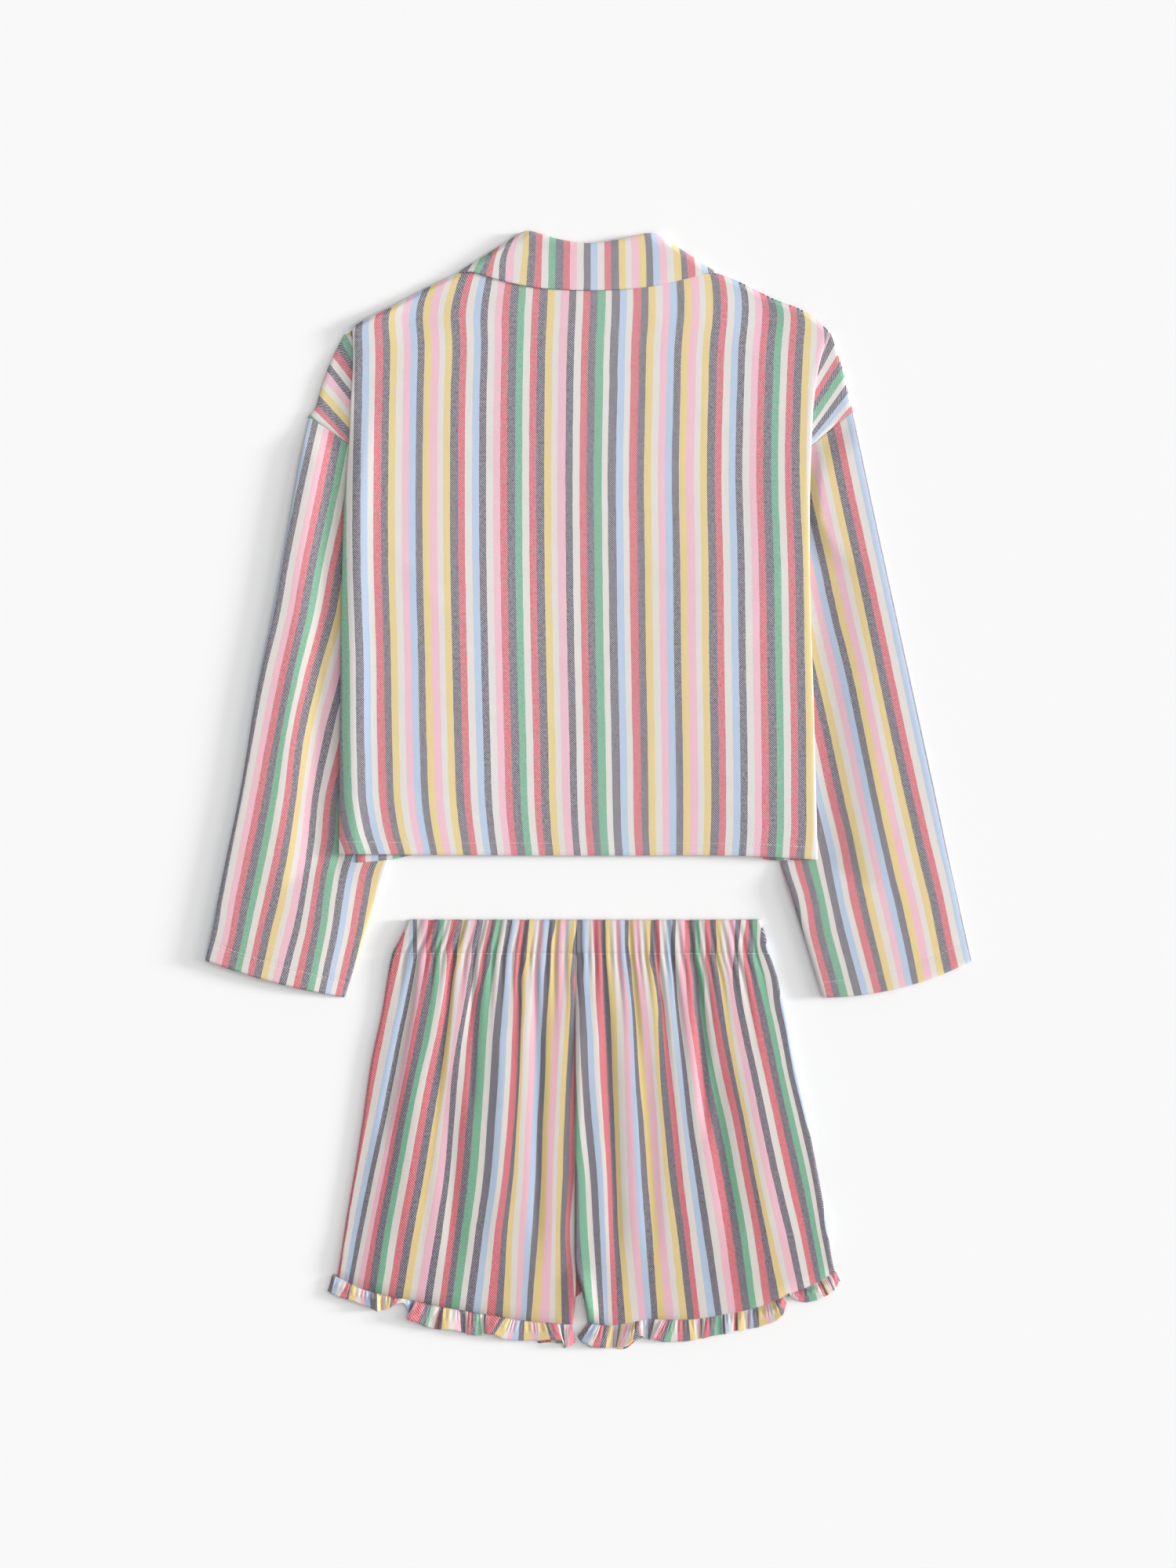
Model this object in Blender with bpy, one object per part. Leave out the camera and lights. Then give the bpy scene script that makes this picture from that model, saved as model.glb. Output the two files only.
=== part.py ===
"""Striped pyjama set laid flat with its back up: a long-sleeved shirt above a pair of ruffled shorts.

X runs to the right across the garments, Y up them towards the collar, and Z up from the surface they lie on.
Left and right are the wearer's, which with the back up are also the viewer's.
Sizes are in millimetres here, and each mesh is made in metres.

Every piece of cloth is a wall of even thickness, built from a grid of points on its middle surface.
Cloth that lies on cloth is one ply higher. Ply 0 rests on the surface.
"""
import math
from collections import namedtuple

import bpy
from mathutils import Vector

METRES = 0.001
SHARP_ANGLE = 50           # degrees between two faces that meet in a sharp edge

Point = namedtuple("Point", "x y")
Sides = namedtuple("Sides", "y left right")
Section = namedtuple("Section", "outer_x outer_y inner_x inner_y")
Gather = namedtuple("Gather", "x height run")
Wave = namedtuple("Wave", "seam_x edge_x drop lift")
Station = namedtuple("Station", "roll_x roll_y edge_x edge_y")

# Cloth and how it is laid.
WALL = 1.2
GAP = 0.3
PLY = WALL + GAP
SHIRT_TURN = 10.0          # how far the shirt's back turns under at a side fold
SIDE_SEAM = 0.8            # between the back and a front there
SHORTS_TURN = 8.0          # the same at the side of the shorts
BEND_STEPS = 3             # points between the two ends of a folded edge
SLIT = 12.0                # from the armhole seam to the front's cloth under the sleeve
REST_PLIES = 3.0           # plies below the shirt's back where it lies on a sleeve
PLACKET_PLIES = 1.2        # the lapped front stands clear of its buttons
PLACKET_HALF = 14.0        # lap past the centre front
PLACKET_TOP = 16.0         # cloth stands at the placket's full height inside this distance from the centre
PLACKET_FALL = 20.0        # and comes down over this
SHOULDER_RISE = 45.0       # the back climbs from its shoulder seam to its full height over this
SHOULDER_PLIES = 2         # plies below the back at its top edge
TIP_START = 170.0          # one more lies there past this distance from the centre
TIP_FALL = 20.0            # and the back climbs onto it over this
LEAF_TOP_Y = 400.0         # the fronts lie on the collar's leaves above this line
LEAF_REACH = 132.0         # and inside this distance from the centre
LEAF_FALL = Point(19, 20)  # how far cloth takes to come down off a leaf, to the side and downwards
LEAF_MARGIN = 2.0          # the front's rows there lie this far below the leaf's lines
UNDERARM_CLEAR = 3.0       # from the sleeve's inner edge to where the front starts to come down
SLEEVE_DROP = 25.0         # and how far it takes to reach the surface
SLEEVE_CROWN = 1.6         # rise of the sleeve's upper wall near the cuff
CROWN_START = 0.78         # share of the way down the sleeve at which it starts to rise
CROWN_RUN = 0.2            # share of the sleeve over which it does
FRONT_STEPS = (4, 1, 2, 1, 2)   # columns of a front: over the sleeve, down from it, to the lap, up, across
FRONT_UPPER_ROWS = (1, 1, 3)    # rows of a front: down to the leaf's edge, off it, to the armhole seam
FRONT_LOWER_ROWS = 9
SETTLE = 4                 # passes that bring a row's X and Y into step
BACK_COLUMNS = 18
BACK_LOWER_ROWS = 7
SLEEVE_ROWS = 13
SLEEVE_COLUMNS = 6

# Waist of the shorts.
WAIST_Y = -116.0
CASING = 29.5              # depth of the turned-in casing
CASING_EDGE = 1.0          # the turned-in edge stops this far above the casing's stitches
CASING_FLAT = 2.0          # the back stays level this far below the casing
CASING_EASE = 34.0         # and then sinks to its own ply over this
CASING_PLIES = 3           # plies below the back's outer wall at the casing
LEG_PLIES = 1              # and below it
LEG_DEPTH = 320.0          # waist to hem at the side
TOP_FULLNESS = 0.55        # share of a gather's height at the top edge of the casing
FRONT_GATHER = 0.8         # height of a gather on a front panel
FRONT_GATHERS = 5          # how many each front panel has
FRONT_RUN = 80.0           # how far they run below the casing
EDGE_GATHER = (0.6, 40)    # height and run of the last gather before a side fold or a seam
WAVE_SHARES = (1 / 3, 2 / 3)    # columns of the ruffle between two waves
RUFFLE_ROWS = (0, 0.35, 0.7, 1)
RUFFLE_RISE = 0.8          # the waves have their full height by this share of the way down
UNDER_LIFT = 0.45          # the ruffle's lower wall rises by this share of its upper wall

BUTTON_RADIUS = 5.75
BUTTON_THICK = 1.5
BUTTON_PROFILE = (         # (radius, z) from the middle of the dished face to the middle of the back
    (0, 0.35), (BUTTON_RADIUS * 0.62, 0.35), (BUTTON_RADIUS * 0.74, 0), (BUTTON_RADIUS * 0.92, 0),
    (BUTTON_RADIUS, 0.5), (BUTTON_RADIUS * 0.93, BUTTON_THICK), (0, BUTTON_THICK),
)
BUTTON_PITCH = 88.0
TOP_BUTTON_Y = 382.0       # Y of the first button, at the neck
BUTTONS = 5
BUTTON_SIDES = 16

# Shirt body.
SHIRT_SIDES = (
    Sides(406, -211, 214), Sides(380, -210, 206), Sides(345, -212, 201), Sides(310, -213, 199),
    Sides(257, -217, 197), Sides(187, -219.5, 197.5), Sides(75, -221, 200.5), Sides(-66, -222, 204),
)
BACK_TOP = (
    Point(-217, 406.5), Point(-208, 413.5), Point(-177, 429.5), Point(-143, 448), Point(-119, 459),
    Point(-110, 459.5), Point(-60, 479), Point(0, 473), Point(60, 479),
    Point(110, 459), Point(123, 457.5), Point(162, 439), Point(203, 419), Point(214, 408),
)
BACK_HEM = (
    Point(-222, -64), Point(-195, -60), Point(-150, -57.5), Point(0, -57.5), Point(150, -58.5),
    Point(204, -62),
)
FRONT_HEM = (
    Point(-222, -62), Point(-197, -62.5), Point(-172, -60.5), Point(-150, -57), Point(0, -57),
    Point(140, -57.5), Point(160, -61.5), Point(204, -60),
)
NECK_POINT = Point(60, 479)
V_POINT = Point(0, 405)

# Cloth of the shoulder that shows past the side folds, from the shoulder tip to the armhole seam.
SHOULDER_END = {
    "left": (Point(-217, 406), Point(-226, 388), Point(-237, 359.5), Point(-244, 338), Point(-249, 332.5)),
    "right": (Point(216, 407.5), Point(220, 393), Point(227, 370), Point(231.5, 349), Point(235, 337.8)),
}
PLEAT_DEPTHS = (4, 7, 9, 11, 12)
END_SHARE = 0.205          # share of the way down the back at which the armhole seam meets the fold
ARMHOLE = {
    "left": (Point(-249, 332.5), Point(-105, 239)),
    "right": (Point(235, 337.8), Point(98, 223.5)),
}
SLEEVES = {
    "left": (
        Section(-249, 332.5, -105, 239), Section(-256.5, 300, -115, 196), Section(-265.5, 250, -127, 143),
        Section(-279.5, 170, -143, 80), Section(-295.8, 87, -161, 10), Section(-309, 5, -179, -61),
        Section(-324.5, -70, -197.5, -120), Section(-341.3, -152, -217.4, -184.5),
    ),
    "right": (
        Section(235, 337.8, 98, 223.5), Section(242.5, 303, 107, 188), Section(252.5, 256, 118, 143),
        Section(270, 175, 134, 80), Section(287.5, 95, 152.5, 10), Section(305, 15, 171, -64),
        Section(321.5, -63, 188.5, -118), Section(341.3, -152, 209, -184),
    ),
}

# Collar, from its roll to its outer edge. The back fall lies on the back, the leaves lie under the fronts.
COLLAR_LEAF = (
    Station(-16, 424, -92, 404), Station(-34, 454, -104, 430), Station(-50, 480, -112, 450),
)
COLLAR_SHOULDER = Station(-56, 499, -116.5, 461.5)
COLLAR_FALL = (
    Station(-51.5, 497.5, -105, 463), Station(-46, 497, -90, 457.5), Station(-37, 494, -67, 452),
    Station(-24, 490, -42, 447.5), Station(0, 487, 0, 445.5), Station(26, 490, 38, 447),
    Station(38, 494, 62, 450.5), Station(47, 497, 86, 456), Station(52, 497.5, 105, 461.5),
)
COLLAR_STAND_ROWS = (1, 7)     # the stand runs between these two rows of the back fall
COLLAR_COLUMNS = 5

# Shorts.
SHORTS_SIDES = (
    Sides(-116, -163, 153), Sides(-135, -171, 158.5), Sides(-153, -176, 163.5), Sides(-194, -183, 174.5),
    Sides(-240, -193, 183), Sides(-301, -202, 197), Sides(-345, -209, 205), Sides(-390, -216.5, 213),
    Sides(-422, -221.5, 217.5), Sides(-440, -224, 220),
)
INNER_EDGES = (
    Sides(-116, -11.2, -10.8), Sides(-408, -11.2, -10.8), Sides(-437, -11.5, -6.7), Sides(-452, -11.7, -1.8),
    Sides(-480, -12, 2),
)
SHORTS_HEM = {
    "left": (Point(-224, -436), Point(-189, -448), Point(-155, -455.5), Point(-109, -464.5),
             Point(-53, -473.5), Point(-12, -478)),
    "right": (Point(2, -475), Point(16.5, -477), Point(53, -472.5), Point(94, -471.5), Point(144, -463),
              Point(177, -450.5), Point(210, -438), Point(220, -434)),
}
LEG_ROWS = (14, 29.5, 45, 65, 95, 135, 180, 225, 263, 292, 320)
GATHERS = {
    "left": (
        Gather(-153, 1.6, 70), Gather(-137, 1.8, 90), Gather(-120, 3.0, 190), Gather(-103, 2.2, 130),
        Gather(-94, 1.6, 60), Gather(-84, 1.8, 80), Gather(-74, 1.6, 60), Gather(-61, 2.8, 110),
        Gather(-48, 2.6, 120), Gather(-38, 1.6, 60), Gather(-28, 1.8, 70), Gather(-20, 1.4, 50),
    ),
    "right": (
        Gather(-2, 1.4, 50), Gather(8, 1.6, 60), Gather(16, 1.6, 70), Gather(28, 1.8, 80),
        Gather(38, 3.0, 150), Gather(47, 1.6, 60), Gather(60, 3.0, 210), Gather(75, 2.8, 190),
        Gather(86, 1.6, 60), Gather(96, 3.0, 150), Gather(108, 1.8, 80), Gather(117, 1.6, 60),
        Gather(133, 2.6, 90), Gather(143, 1.6, 50),
    ),
}
RUFFLES = {
    "left": (
        Wave(-223.5, -230, 11, 1.5), Wave(-207, -209, 13, 4), Wave(-188, -188, 15.5, 1),
        Wave(-176, -175, 9, 5), Wave(-163, -160, 16, 0.5), Wave(-146, -146, 21, 4.5),
        Wave(-136, -136, 21.5, 0.5), Wave(-122, -122, 20, 4), Wave(-110, -109, 20.5, 0.5),
        Wave(-98, -96, 19, 4.5), Wave(-88, -86, 14.5, 0), Wave(-66, -68, 18, 5), Wave(-45, -46, 18, 2),
        Wave(-28, -24, 20.5, 5), Wave(-13, -13.5, 14, 1),
    ),
    "right": (
        Wave(2, -8, 14, 2), Wave(14, 8, 20, 5), Wave(27, 25, 23, 2), Wave(42, 44, 22, 7),
        Wave(54, 54, 16, 0), Wave(70, 70, 20.5, 5), Wave(82, 83, 18.5, 1), Wave(93, 94, 17.5, 4),
        Wave(104, 104, 17, 0.5), Wave(114, 115, 17, 4), Wave(124, 124, 15, 0), Wave(141, 141, 15.5, 4),
        Wave(158, 158, 17, 1.5), Wave(170, 171, 18, 5), Wave(178, 177, 7, 0), Wave(195, 195, 13, 4.5),
        Wave(209, 210, 15, 1), Wave(219, 223, 10, 2),
    ),
}

# Finishes: colour, roughness.
Finish = namedtuple("Finish", "colour roughness")
FINISHES = {
    "shirt_back": Finish((0.72, 0.60, 0.58), 0.9),
    "shirt_front": Finish((0.68, 0.58, 0.56), 0.9),
    "sleeve": Finish((0.66, 0.55, 0.55), 0.9),
    "collar": Finish((0.74, 0.63, 0.60), 0.9),
    "shorts_back": Finish((0.72, 0.60, 0.58), 0.9),
    "shorts_front": Finish((0.68, 0.58, 0.56), 0.9),
    "ruffle": Finish((0.75, 0.62, 0.60), 0.9),
    "button": Finish((0.85, 0.84, 0.80), 0.35),
}


def clear_scene():
    for item in list(bpy.data.objects):
        bpy.data.objects.remove(item, do_unlink=True)


def reading(rows, at, want):
    """A function that reads one column of a table against another, straight between the rows."""
    pairs = sorted((getattr(row, at), getattr(row, want)) for row in rows)

    def read(value):
        if value <= pairs[0][0]:
            return pairs[0][1]
        for (a0, w0), (a1, w1) in zip(pairs, pairs[1:]):
            if value <= a1:
                return w0 + (w1 - w0) * (value - a0) / (a1 - a0)
        return pairs[-1][1]
    return read


def ease(value):
    """0 below 0, 1 above 1, and a smooth step between."""
    value = min(1.0, max(0.0, value))
    return value * value * (3 - 2 * value)


def mix(a, b, share):
    return a + (b - a) * share


def ply_z(ply):
    """Height of the middle of the wall of a ply."""
    return WALL / 2 + PLY * ply


def spread(ends, counts):
    """The numbers in ends, with each stretch between two of them cut into its count of equal steps."""
    out = []
    for start, end, count in zip(ends, ends[1:], counts):
        out += [mix(start, end, k / count) for k in range(count)]
    return out + [ends[-1]]


def bend(low_z, high_z):
    """Steps of a folded edge from its low ply to its high one, as (reach past the bend's centre, height)."""
    radius, centre = (high_z - low_z) / 2, (high_z + low_z) / 2
    turns = [math.pi * (k / (BEND_STEPS + 1) - 0.5) for k in range(BEND_STEPS + 2)]
    return [(radius * math.cos(turn), centre + radius * math.sin(turn)) for turn in turns]


def bend_reach(low_z, high_z):
    """How far the outer face of a folded edge stands past the bend's centre."""
    return (high_z - low_z) / 2 + WALL / 2


def material(name):
    made = bpy.data.materials.new(name)
    made.use_nodes = True
    shader = made.node_tree.nodes["Principled BSDF"]
    finish = FINISHES[name]
    shader.inputs["Base Color"].default_value = (*finish.colour, 1)
    shader.inputs["Roughness"].default_value = finish.roughness
    shader.inputs["Metallic"].default_value = 0
    return made


def add_object(name, vertices, faces, finish):
    mesh = bpy.data.meshes.new(name)
    mesh.from_pydata([vertex * METRES for vertex in vertices], [], faces)
    mesh.materials.append(material(finish))
    mesh.shade_smooth()
    mesh.set_sharp_from_angle(angle=math.radians(SHARP_ANGLE))
    made = bpy.data.objects.new(name, mesh)
    bpy.context.scene.collection.objects.link(made)
    return made


def cloth(name, grid, finish, live=None, ring=False):
    """A closed wall round a grid of middle points. Rows run down the piece, and columns to the right.

    live(row, column) says whether the cell below and right of that point holds cloth. A ring joins the
    last column to the first.
    """
    rows, columns = len(grid), len(grid[0])
    width = columns if ring else columns - 1
    cells = {}
    for i in range(rows - 1):
        for j in range(width):
            if live is None or live(i, j):
                right = (j + 1) % columns
                cells[i, j] = ((i, j), (i + 1, j), (i + 1, right), (i, right))
    normals = {}
    for corners in cells.values():
        a, b, c, d = (grid[i][j] for i, j in corners)
        facing = (c - a).cross(d - b).normalized()
        for corner in corners:
            normals[corner] = normals.get(corner, Vector((0, 0, 0))) + facing
    index = {corner: 2 * k for k, corner in enumerate(normals)}
    vertices = []
    for (i, j), facing in normals.items():
        half = facing.normalized() * WALL / 2
        vertices += [grid[i][j] + half, grid[i][j] - half]
    edges = set()
    for corners in cells.values():
        edges.update(zip(corners, corners[1:] + corners[:1]))
    faces = []
    for corners in cells.values():
        a, b, c, d = corners
        short_first = (grid[a[0]][a[1]] - grid[c[0]][c[1]]).length < (grid[b[0]][b[1]] - grid[d[0]][d[1]]).length
        for half in ((a, b, c), (a, c, d)) if short_first else ((a, b, d), (b, c, d)):
            faces.append([index[corner] for corner in half])
            faces.append([index[corner] + 1 for corner in reversed(half)])
    for start, end in edges:
        if (end, start) not in edges:
            faces.append([index[end], index[start], index[start] + 1, index[end] + 1])
    return add_object(name, vertices, faces, finish)


# ---- shirt ----

def placket_bump(x):
    """1 over the lapped front, easing to 0 on both sides."""
    return 1 - ease((abs(x) - PLACKET_TOP) / PLACKET_FALL)


def over_leaf(x, y):
    """1 where cloth lies on a leaf of the collar, easing to 0 round it."""
    above = ease((y - LEAF_TOP_Y + LEAF_FALL.y) / LEAF_FALL.y)
    return above * (1 - ease((abs(x) - LEAF_REACH) / LEAF_FALL.x))


def back_ply(x, y):
    """Plies below the shirt's back."""
    plateau = mix(REST_PLIES, PLACKET_PLIES + 2, placket_bump(x))
    edge = SHOULDER_PLIES + ease((abs(x) - TIP_START) / TIP_FALL)
    down = reading(BACK_TOP, "x", "y")(x) - y
    return mix(edge, plateau, ease(down / SHOULDER_RISE))


def body_sides(y):
    return reading(SHIRT_SIDES, "y", "left")(y), reading(SHIRT_SIDES, "y", "right")(y)


def shirt_back():
    top, hem = reading(BACK_TOP, "x", "y"), reading(BACK_HEM, "x", "y")
    end_rows = len(PLEAT_DEPTHS)
    shares = spread((0, END_SHARE, 1), (end_rows - 1, BACK_LOWER_ROWS))
    reach = bend_reach(ply_z(REST_PLIES - 1), ply_z(REST_PLIES))
    grid = []
    for row, share in enumerate(shares):
        left, right = body_sides(mix(SHIRT_SIDES[0].y, SHIRT_SIDES[-1].y, share))
        middle = []
        for u in spread((0, 1), (BACK_COLUMNS,)):
            x = mix(left + reach, right - reach, u)
            y = mix(top(x), hem(x), share)
            middle.append(Vector((x, y, ply_z(back_ply(x, y)))))
        left_fold = side_fold("left", 1, left, middle[0].y, row)
        right_fold = side_fold("right", -1, right, middle[-1].y, row)
        grid.append(left_fold + middle + right_fold[::-1])
    last = len(grid[0]) - 2
    end_cells = len(left_fold) - 2 - BEND_STEPS

    def live(i, j):
        return i < end_rows - 1 or min(j, last - j) >= end_cells
    return cloth("shirt_back", grid, "shirt_back", live)


def side_fold(side, inward, fold_x, y, row):
    """One row of the cloth past a side fold, from the outside in: the shoulder's end, the pleat that leads
    to it, the cloth that is turned under, and the fold. Below the armhole, only the last two hold cloth."""
    end_z, turned_z, top_z = ply_z(1), ply_z(REST_PLIES - 1), ply_z(REST_PLIES)
    reach = bend_reach(turned_z, top_z)
    last = len(PLEAT_DEPTHS) - 1
    tip = SHOULDER_END[side][min(row, last)]
    if row <= last:
        pleat_x = fold_x + inward * PLEAT_DEPTHS[row]
        turned_x = pleat_x - inward * reach
    else:
        pleat_x = turned_x = fold_x + inward * (reach + SHIRT_TURN)
    armhole = reading(ARMHOLE[side], "x", "y")
    line = []
    for part in (0, 0.5):
        line.append(Vector((mix(tip.x, pleat_x - inward * reach, part), mix(tip.y, y, part), end_z)))
    for past, z in bend(end_z, turned_z)[:-1]:
        line.append(Vector((pleat_x - inward * (reach - past), y, z)))
    line.append(Vector((turned_x, y, turned_z)))
    if row == last:
        for step, point in enumerate(line):
            standing = 0 if step < 2 else WALL / 2
            point.y = armhole(point.x - inward * standing) + GAP / 2
    for past, z in bend(turned_z, top_z)[:-1]:
        line.append(Vector((fold_x + inward * (reach - past), y, z)))
    return line


def front_top(x, inward):
    """Top edge of a front: its shoulder seam, then the V of the neck, then level across the lap."""
    outwards = -inward * x
    if outwards > NECK_POINT.x:
        return reading(BACK_TOP, "x", "y")(x)
    return mix(V_POINT.y, NECK_POINT.y, max(0, outwards) / NECK_POINT.x)


def shirt_front(side, inward, lap_plies):
    """A front. Above the armhole seam it meets the sleeve's lower wall. Below, it passes over the sleeve,
    and a slit along the seam parts the two. inward is the direction of the centre along X."""
    armhole = reading(ARMHOLE[side], "x", "y")
    hem = reading(FRONT_HEM, "x", "y")
    fold = reading(SHIRT_SIDES, "y", side)
    sleeve_edge = reading(SLEEVES[side], "inner_y", "inner_x")
    end_edge = reading(SHOULDER_END[side], "y", "x")
    tip, end, underarm = SHOULDER_END[side][0], ARMHOLE[side][0], ARMHOLE[side][-1]
    turned = bend_reach(ply_z(REST_PLIES - 1), ply_z(REST_PLIES)) + SHIRT_TURN + SIDE_SEAM
    clear = inward * UNDERARM_CLEAR
    slit_y = underarm.y - SLIT
    bare = FRONT_STEPS[0]

    def across(outer_x, line_x):
        marks = (outer_x, line_x, line_x + inward * SLEEVE_DROP, -inward * (PLACKET_TOP + PLACKET_FALL),
                 -inward * PLACKET_TOP, inward * PLACKET_HALF)
        return spread(marks, FRONT_STEPS)

    def height(x, y, plies):
        return ply_z(max(lap_plies * placket_bump(x), over_leaf(x, y), plies))

    leaf_rows = (LEAF_TOP_Y - LEAF_MARGIN, LEAF_TOP_Y - LEAF_MARGIN - LEAF_FALL.y)
    grid = []
    top_line, low_line = across(tip.x, underarm.x + clear), across(end.x, underarm.x + clear)
    for row in range(sum(FRONT_UPPER_ROWS) + 1):
        line = []
        for column, (x0, x1) in enumerate(zip(top_line, low_line)):
            top_y = front_top(x0, inward)
            low_y = armhole(x1) + GAP / 2 if column < bare else underarm.y
            y = spread((top_y, *leaf_rows, low_y), FRONT_UPPER_ROWS)[row]
            down = (top_y - y) / (top_y - low_y)
            bulge = end_edge(mix(tip.y, end.y, down)) - mix(tip.x, end.x, down)
            x = mix(x0, x1, down) + bulge * max(0, 1 - column / bare)
            line.append(Vector((x, y, height(x, y, 0))))
        grid.append(line)
    for row in range(FRONT_LOWER_ROWS):
        down = row / (FRONT_LOWER_ROWS - 1)
        line = []
        for column in range(len(top_line)):
            x, y = 0, mix(slit_y, hem(0), down)
            for _ in range(SETTLE):
                x = across(fold(y) + inward * turned, sleeve_edge(y) + clear)[column]
                start_y = armhole(x) - SLIT if column < bare else slit_y
                y = mix(start_y, hem(x), down)
            line.append(Vector((x, y, height(x, y, 2 if column <= bare else 0))))
        grid.append(line)
    last = len(top_line) - 2
    if inward < 0:
        grid = [line[::-1] for line in grid]

    def live(i, j):
        return i != sum(FRONT_UPPER_ROWS) or (j if inward > 0 else last - j) >= bare
    return cloth("shirt_front_" + side, grid, "shirt_front", live)


def along(rows, want, share):
    """Reads one column of a table by the share of the way down its rows, on a smooth curve through them."""
    values = [getattr(row, want) for row in rows]
    place = share * (len(values) - 1)
    k = min(int(place), len(values) - 2)
    t = place - k
    a, b = values[k], values[k + 1]
    slope_a = (b - values[max(k - 1, 0)]) / 2
    slope_b = (values[min(k + 2, len(values) - 1)] - a) / 2
    cubic, square = 2 * a - 2 * b + slope_a + slope_b, -3 * a + 3 * b - 2 * slope_a - slope_b
    return ((cubic * t + square) * t + slope_a) * t + a


def sleeve(side):
    """A flattened tube. Its lower wall lies on the surface and its upper wall on that."""
    low_z, high_z = ply_z(0), ply_z(1)
    reach = bend_reach(low_z, high_z)
    armhole = reading(ARMHOLE[side], "x", "y")
    grid = []
    for row in range(SLEEVE_ROWS):
        down = row / (SLEEVE_ROWS - 1)
        outer_x, outer_y, inner_x, inner_y = (along(SLEEVES[side], want, down) for want in Section._fields)
        outer = Vector((outer_x, outer_y, 0))
        across = Vector((inner_x, inner_y, 0)) - outer
        width = across.length
        across.normalize()
        crown = SLEEVE_CROWN * ease((down - CROWN_START) / CROWN_RUN)
        shares = spread((0, 1), (SLEEVE_COLUMNS,))
        section = [(mix(reach, width - reach, share), high_z + crown * math.sin(math.pi * share))
                   for share in shares]
        section += [(width - reach + past, z) for past, z in bend(low_z, high_z)[-2:0:-1]]
        section += [(mix(width - reach, reach, share), low_z) for share in shares]
        section += [(reach - past, z) for past, z in bend(low_z, high_z)[1:-1]]
        line = [outer + across * distance + Vector((0, 0, z)) for distance, z in section]
        if row == 0:
            for point in line:
                point.y = armhole(point.x) - GAP / 2
        grid.append(line)
    return cloth("sleeve_" + side, grid, "sleeve", ring=True)


def mirrored(station):
    return Station(-station.roll_x, station.roll_y, -station.edge_x, station.edge_y)


def collar_rib(station, fall_z, outward=0.0):
    """One cut across the collar, from its roll to its edge. fall_z gives the height over a place, and
    outward moves the rib square to itself, past a shoulder seam."""
    roll, edge = Vector((station.roll_x, station.roll_y, 0)), Vector((station.edge_x, station.edge_y, 0))
    down = (edge - roll).normalized()
    away = Vector((-down.y, down.x, 0)) * (outward if roll.x > 0 else -outward)
    rib = []
    for share in spread((0, 1), (COLLAR_COLUMNS,)):
        point = roll.lerp(edge, share) + away
        point.z = fall_z(point.x, point.y)
        rib.append(point)
    return rib


def stand_rib(station):
    """The stand at one cut: from the neck seam up to the roll, and over it to where the fall starts."""
    roll, edge = Vector((station.roll_x, station.roll_y, 0)), Vector((station.edge_x, station.edge_y, 0))
    down = (edge - roll).normalized()
    low_z, high_z = ply_z(2), ply_z(3)
    reach = bend_reach(low_z, high_z)
    centre = roll + down * reach
    rib = [Vector((centre.x, reading(BACK_TOP, "x", "y")(centre.x) + 2 * GAP, low_z))]
    return rib + [centre - down * past + Vector((0, 0, z)) for past, z in bend(low_z, high_z)[:-1]]


def collar():
    """One strip from leaf to leaf round the neck. It lies under the fronts, turns over the shoulder seams,
    and falls on the back, where its stand turns down inside the roll."""
    low_z, high_z = ply_z(0), ply_z(3)
    turned = bend(low_z, high_z)
    reach = bend_reach(low_z, high_z)

    def on_back(x, y):
        return max(high_z, ply_z(back_ply(x, y) + 1))
    left = [collar_rib(station, lambda x, y: low_z) for station in COLLAR_LEAF]
    left += [collar_rib(COLLAR_SHOULDER, lambda x, y, z=z: z, past - reach) for past, z in turned]
    right = [collar_rib(mirrored(COLLAR_SHOULDER), lambda x, y, z=z: z, past - reach) for past, z in turned]
    right = [collar_rib(mirrored(station), lambda x, y: low_z) for station in COLLAR_LEAF] + right
    falls = [collar_rib(station, on_back) for station in COLLAR_FALL]
    ribs = left + falls + right[::-1]
    stand_from, stand_to = (len(left) + row for row in COLLAR_STAND_ROWS)
    stand_columns = 2 + BEND_STEPS
    grid = []
    for row, rib in enumerate(ribs):
        if stand_from <= row <= stand_to:
            stand = stand_rib(COLLAR_FALL[row - len(left)])
            rib[0] = Vector((stand[1].x, stand[1].y, rib[0].z))
            grid.append(stand + rib)
        else:
            grid.append([rib[0].copy() for _ in range(stand_columns)] + rib)

    def live(i, j):
        return j >= stand_columns or stand_from <= i < stand_to
    return cloth("collar", grid, "collar", live)


def button(number):
    """A turned button under the lap, face down on the surface."""
    centre_y = TOP_BUTTON_Y - BUTTON_PITCH * (number - 1)
    vertices, faces = [], []
    for radius, z in BUTTON_PROFILE:
        for side in range(BUTTON_SIDES if radius else 1):
            turn = 2 * math.pi * side / BUTTON_SIDES
            vertices.append(Vector((radius * math.cos(turn), centre_y + radius * math.sin(turn), z)))
    rings = len(BUTTON_PROFILE) - 2
    top = len(vertices) - 1
    for side in range(BUTTON_SIDES):
        after = (side + 1) % BUTTON_SIDES
        faces.append([0, 1 + after, 1 + side])
        for ring in range(rings - 1):
            low, high = 1 + ring * BUTTON_SIDES, 1 + (ring + 1) * BUTTON_SIDES
            faces.append([low + side, low + after, high + after, high + side])
        last = 1 + (rings - 1) * BUTTON_SIDES
        faces.append([last + side, last + after, top])
    return add_object(f"button_{number}", vertices, faces, "button")


# ---- shorts ----

def outer_ply(depth):
    """Plies below the back's outer wall at a depth below the waist."""
    return mix(CASING_PLIES, LEG_PLIES, ease((depth - CASING - CASING_FLAT) / CASING_EASE))


def fullness(depth, run):
    """How much of a gather's height is left at a depth below the waist."""
    if depth < CASING:
        return mix(TOP_FULLNESS, 1, depth / CASING)
    return 1 - ease((depth - CASING) / run)


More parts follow.
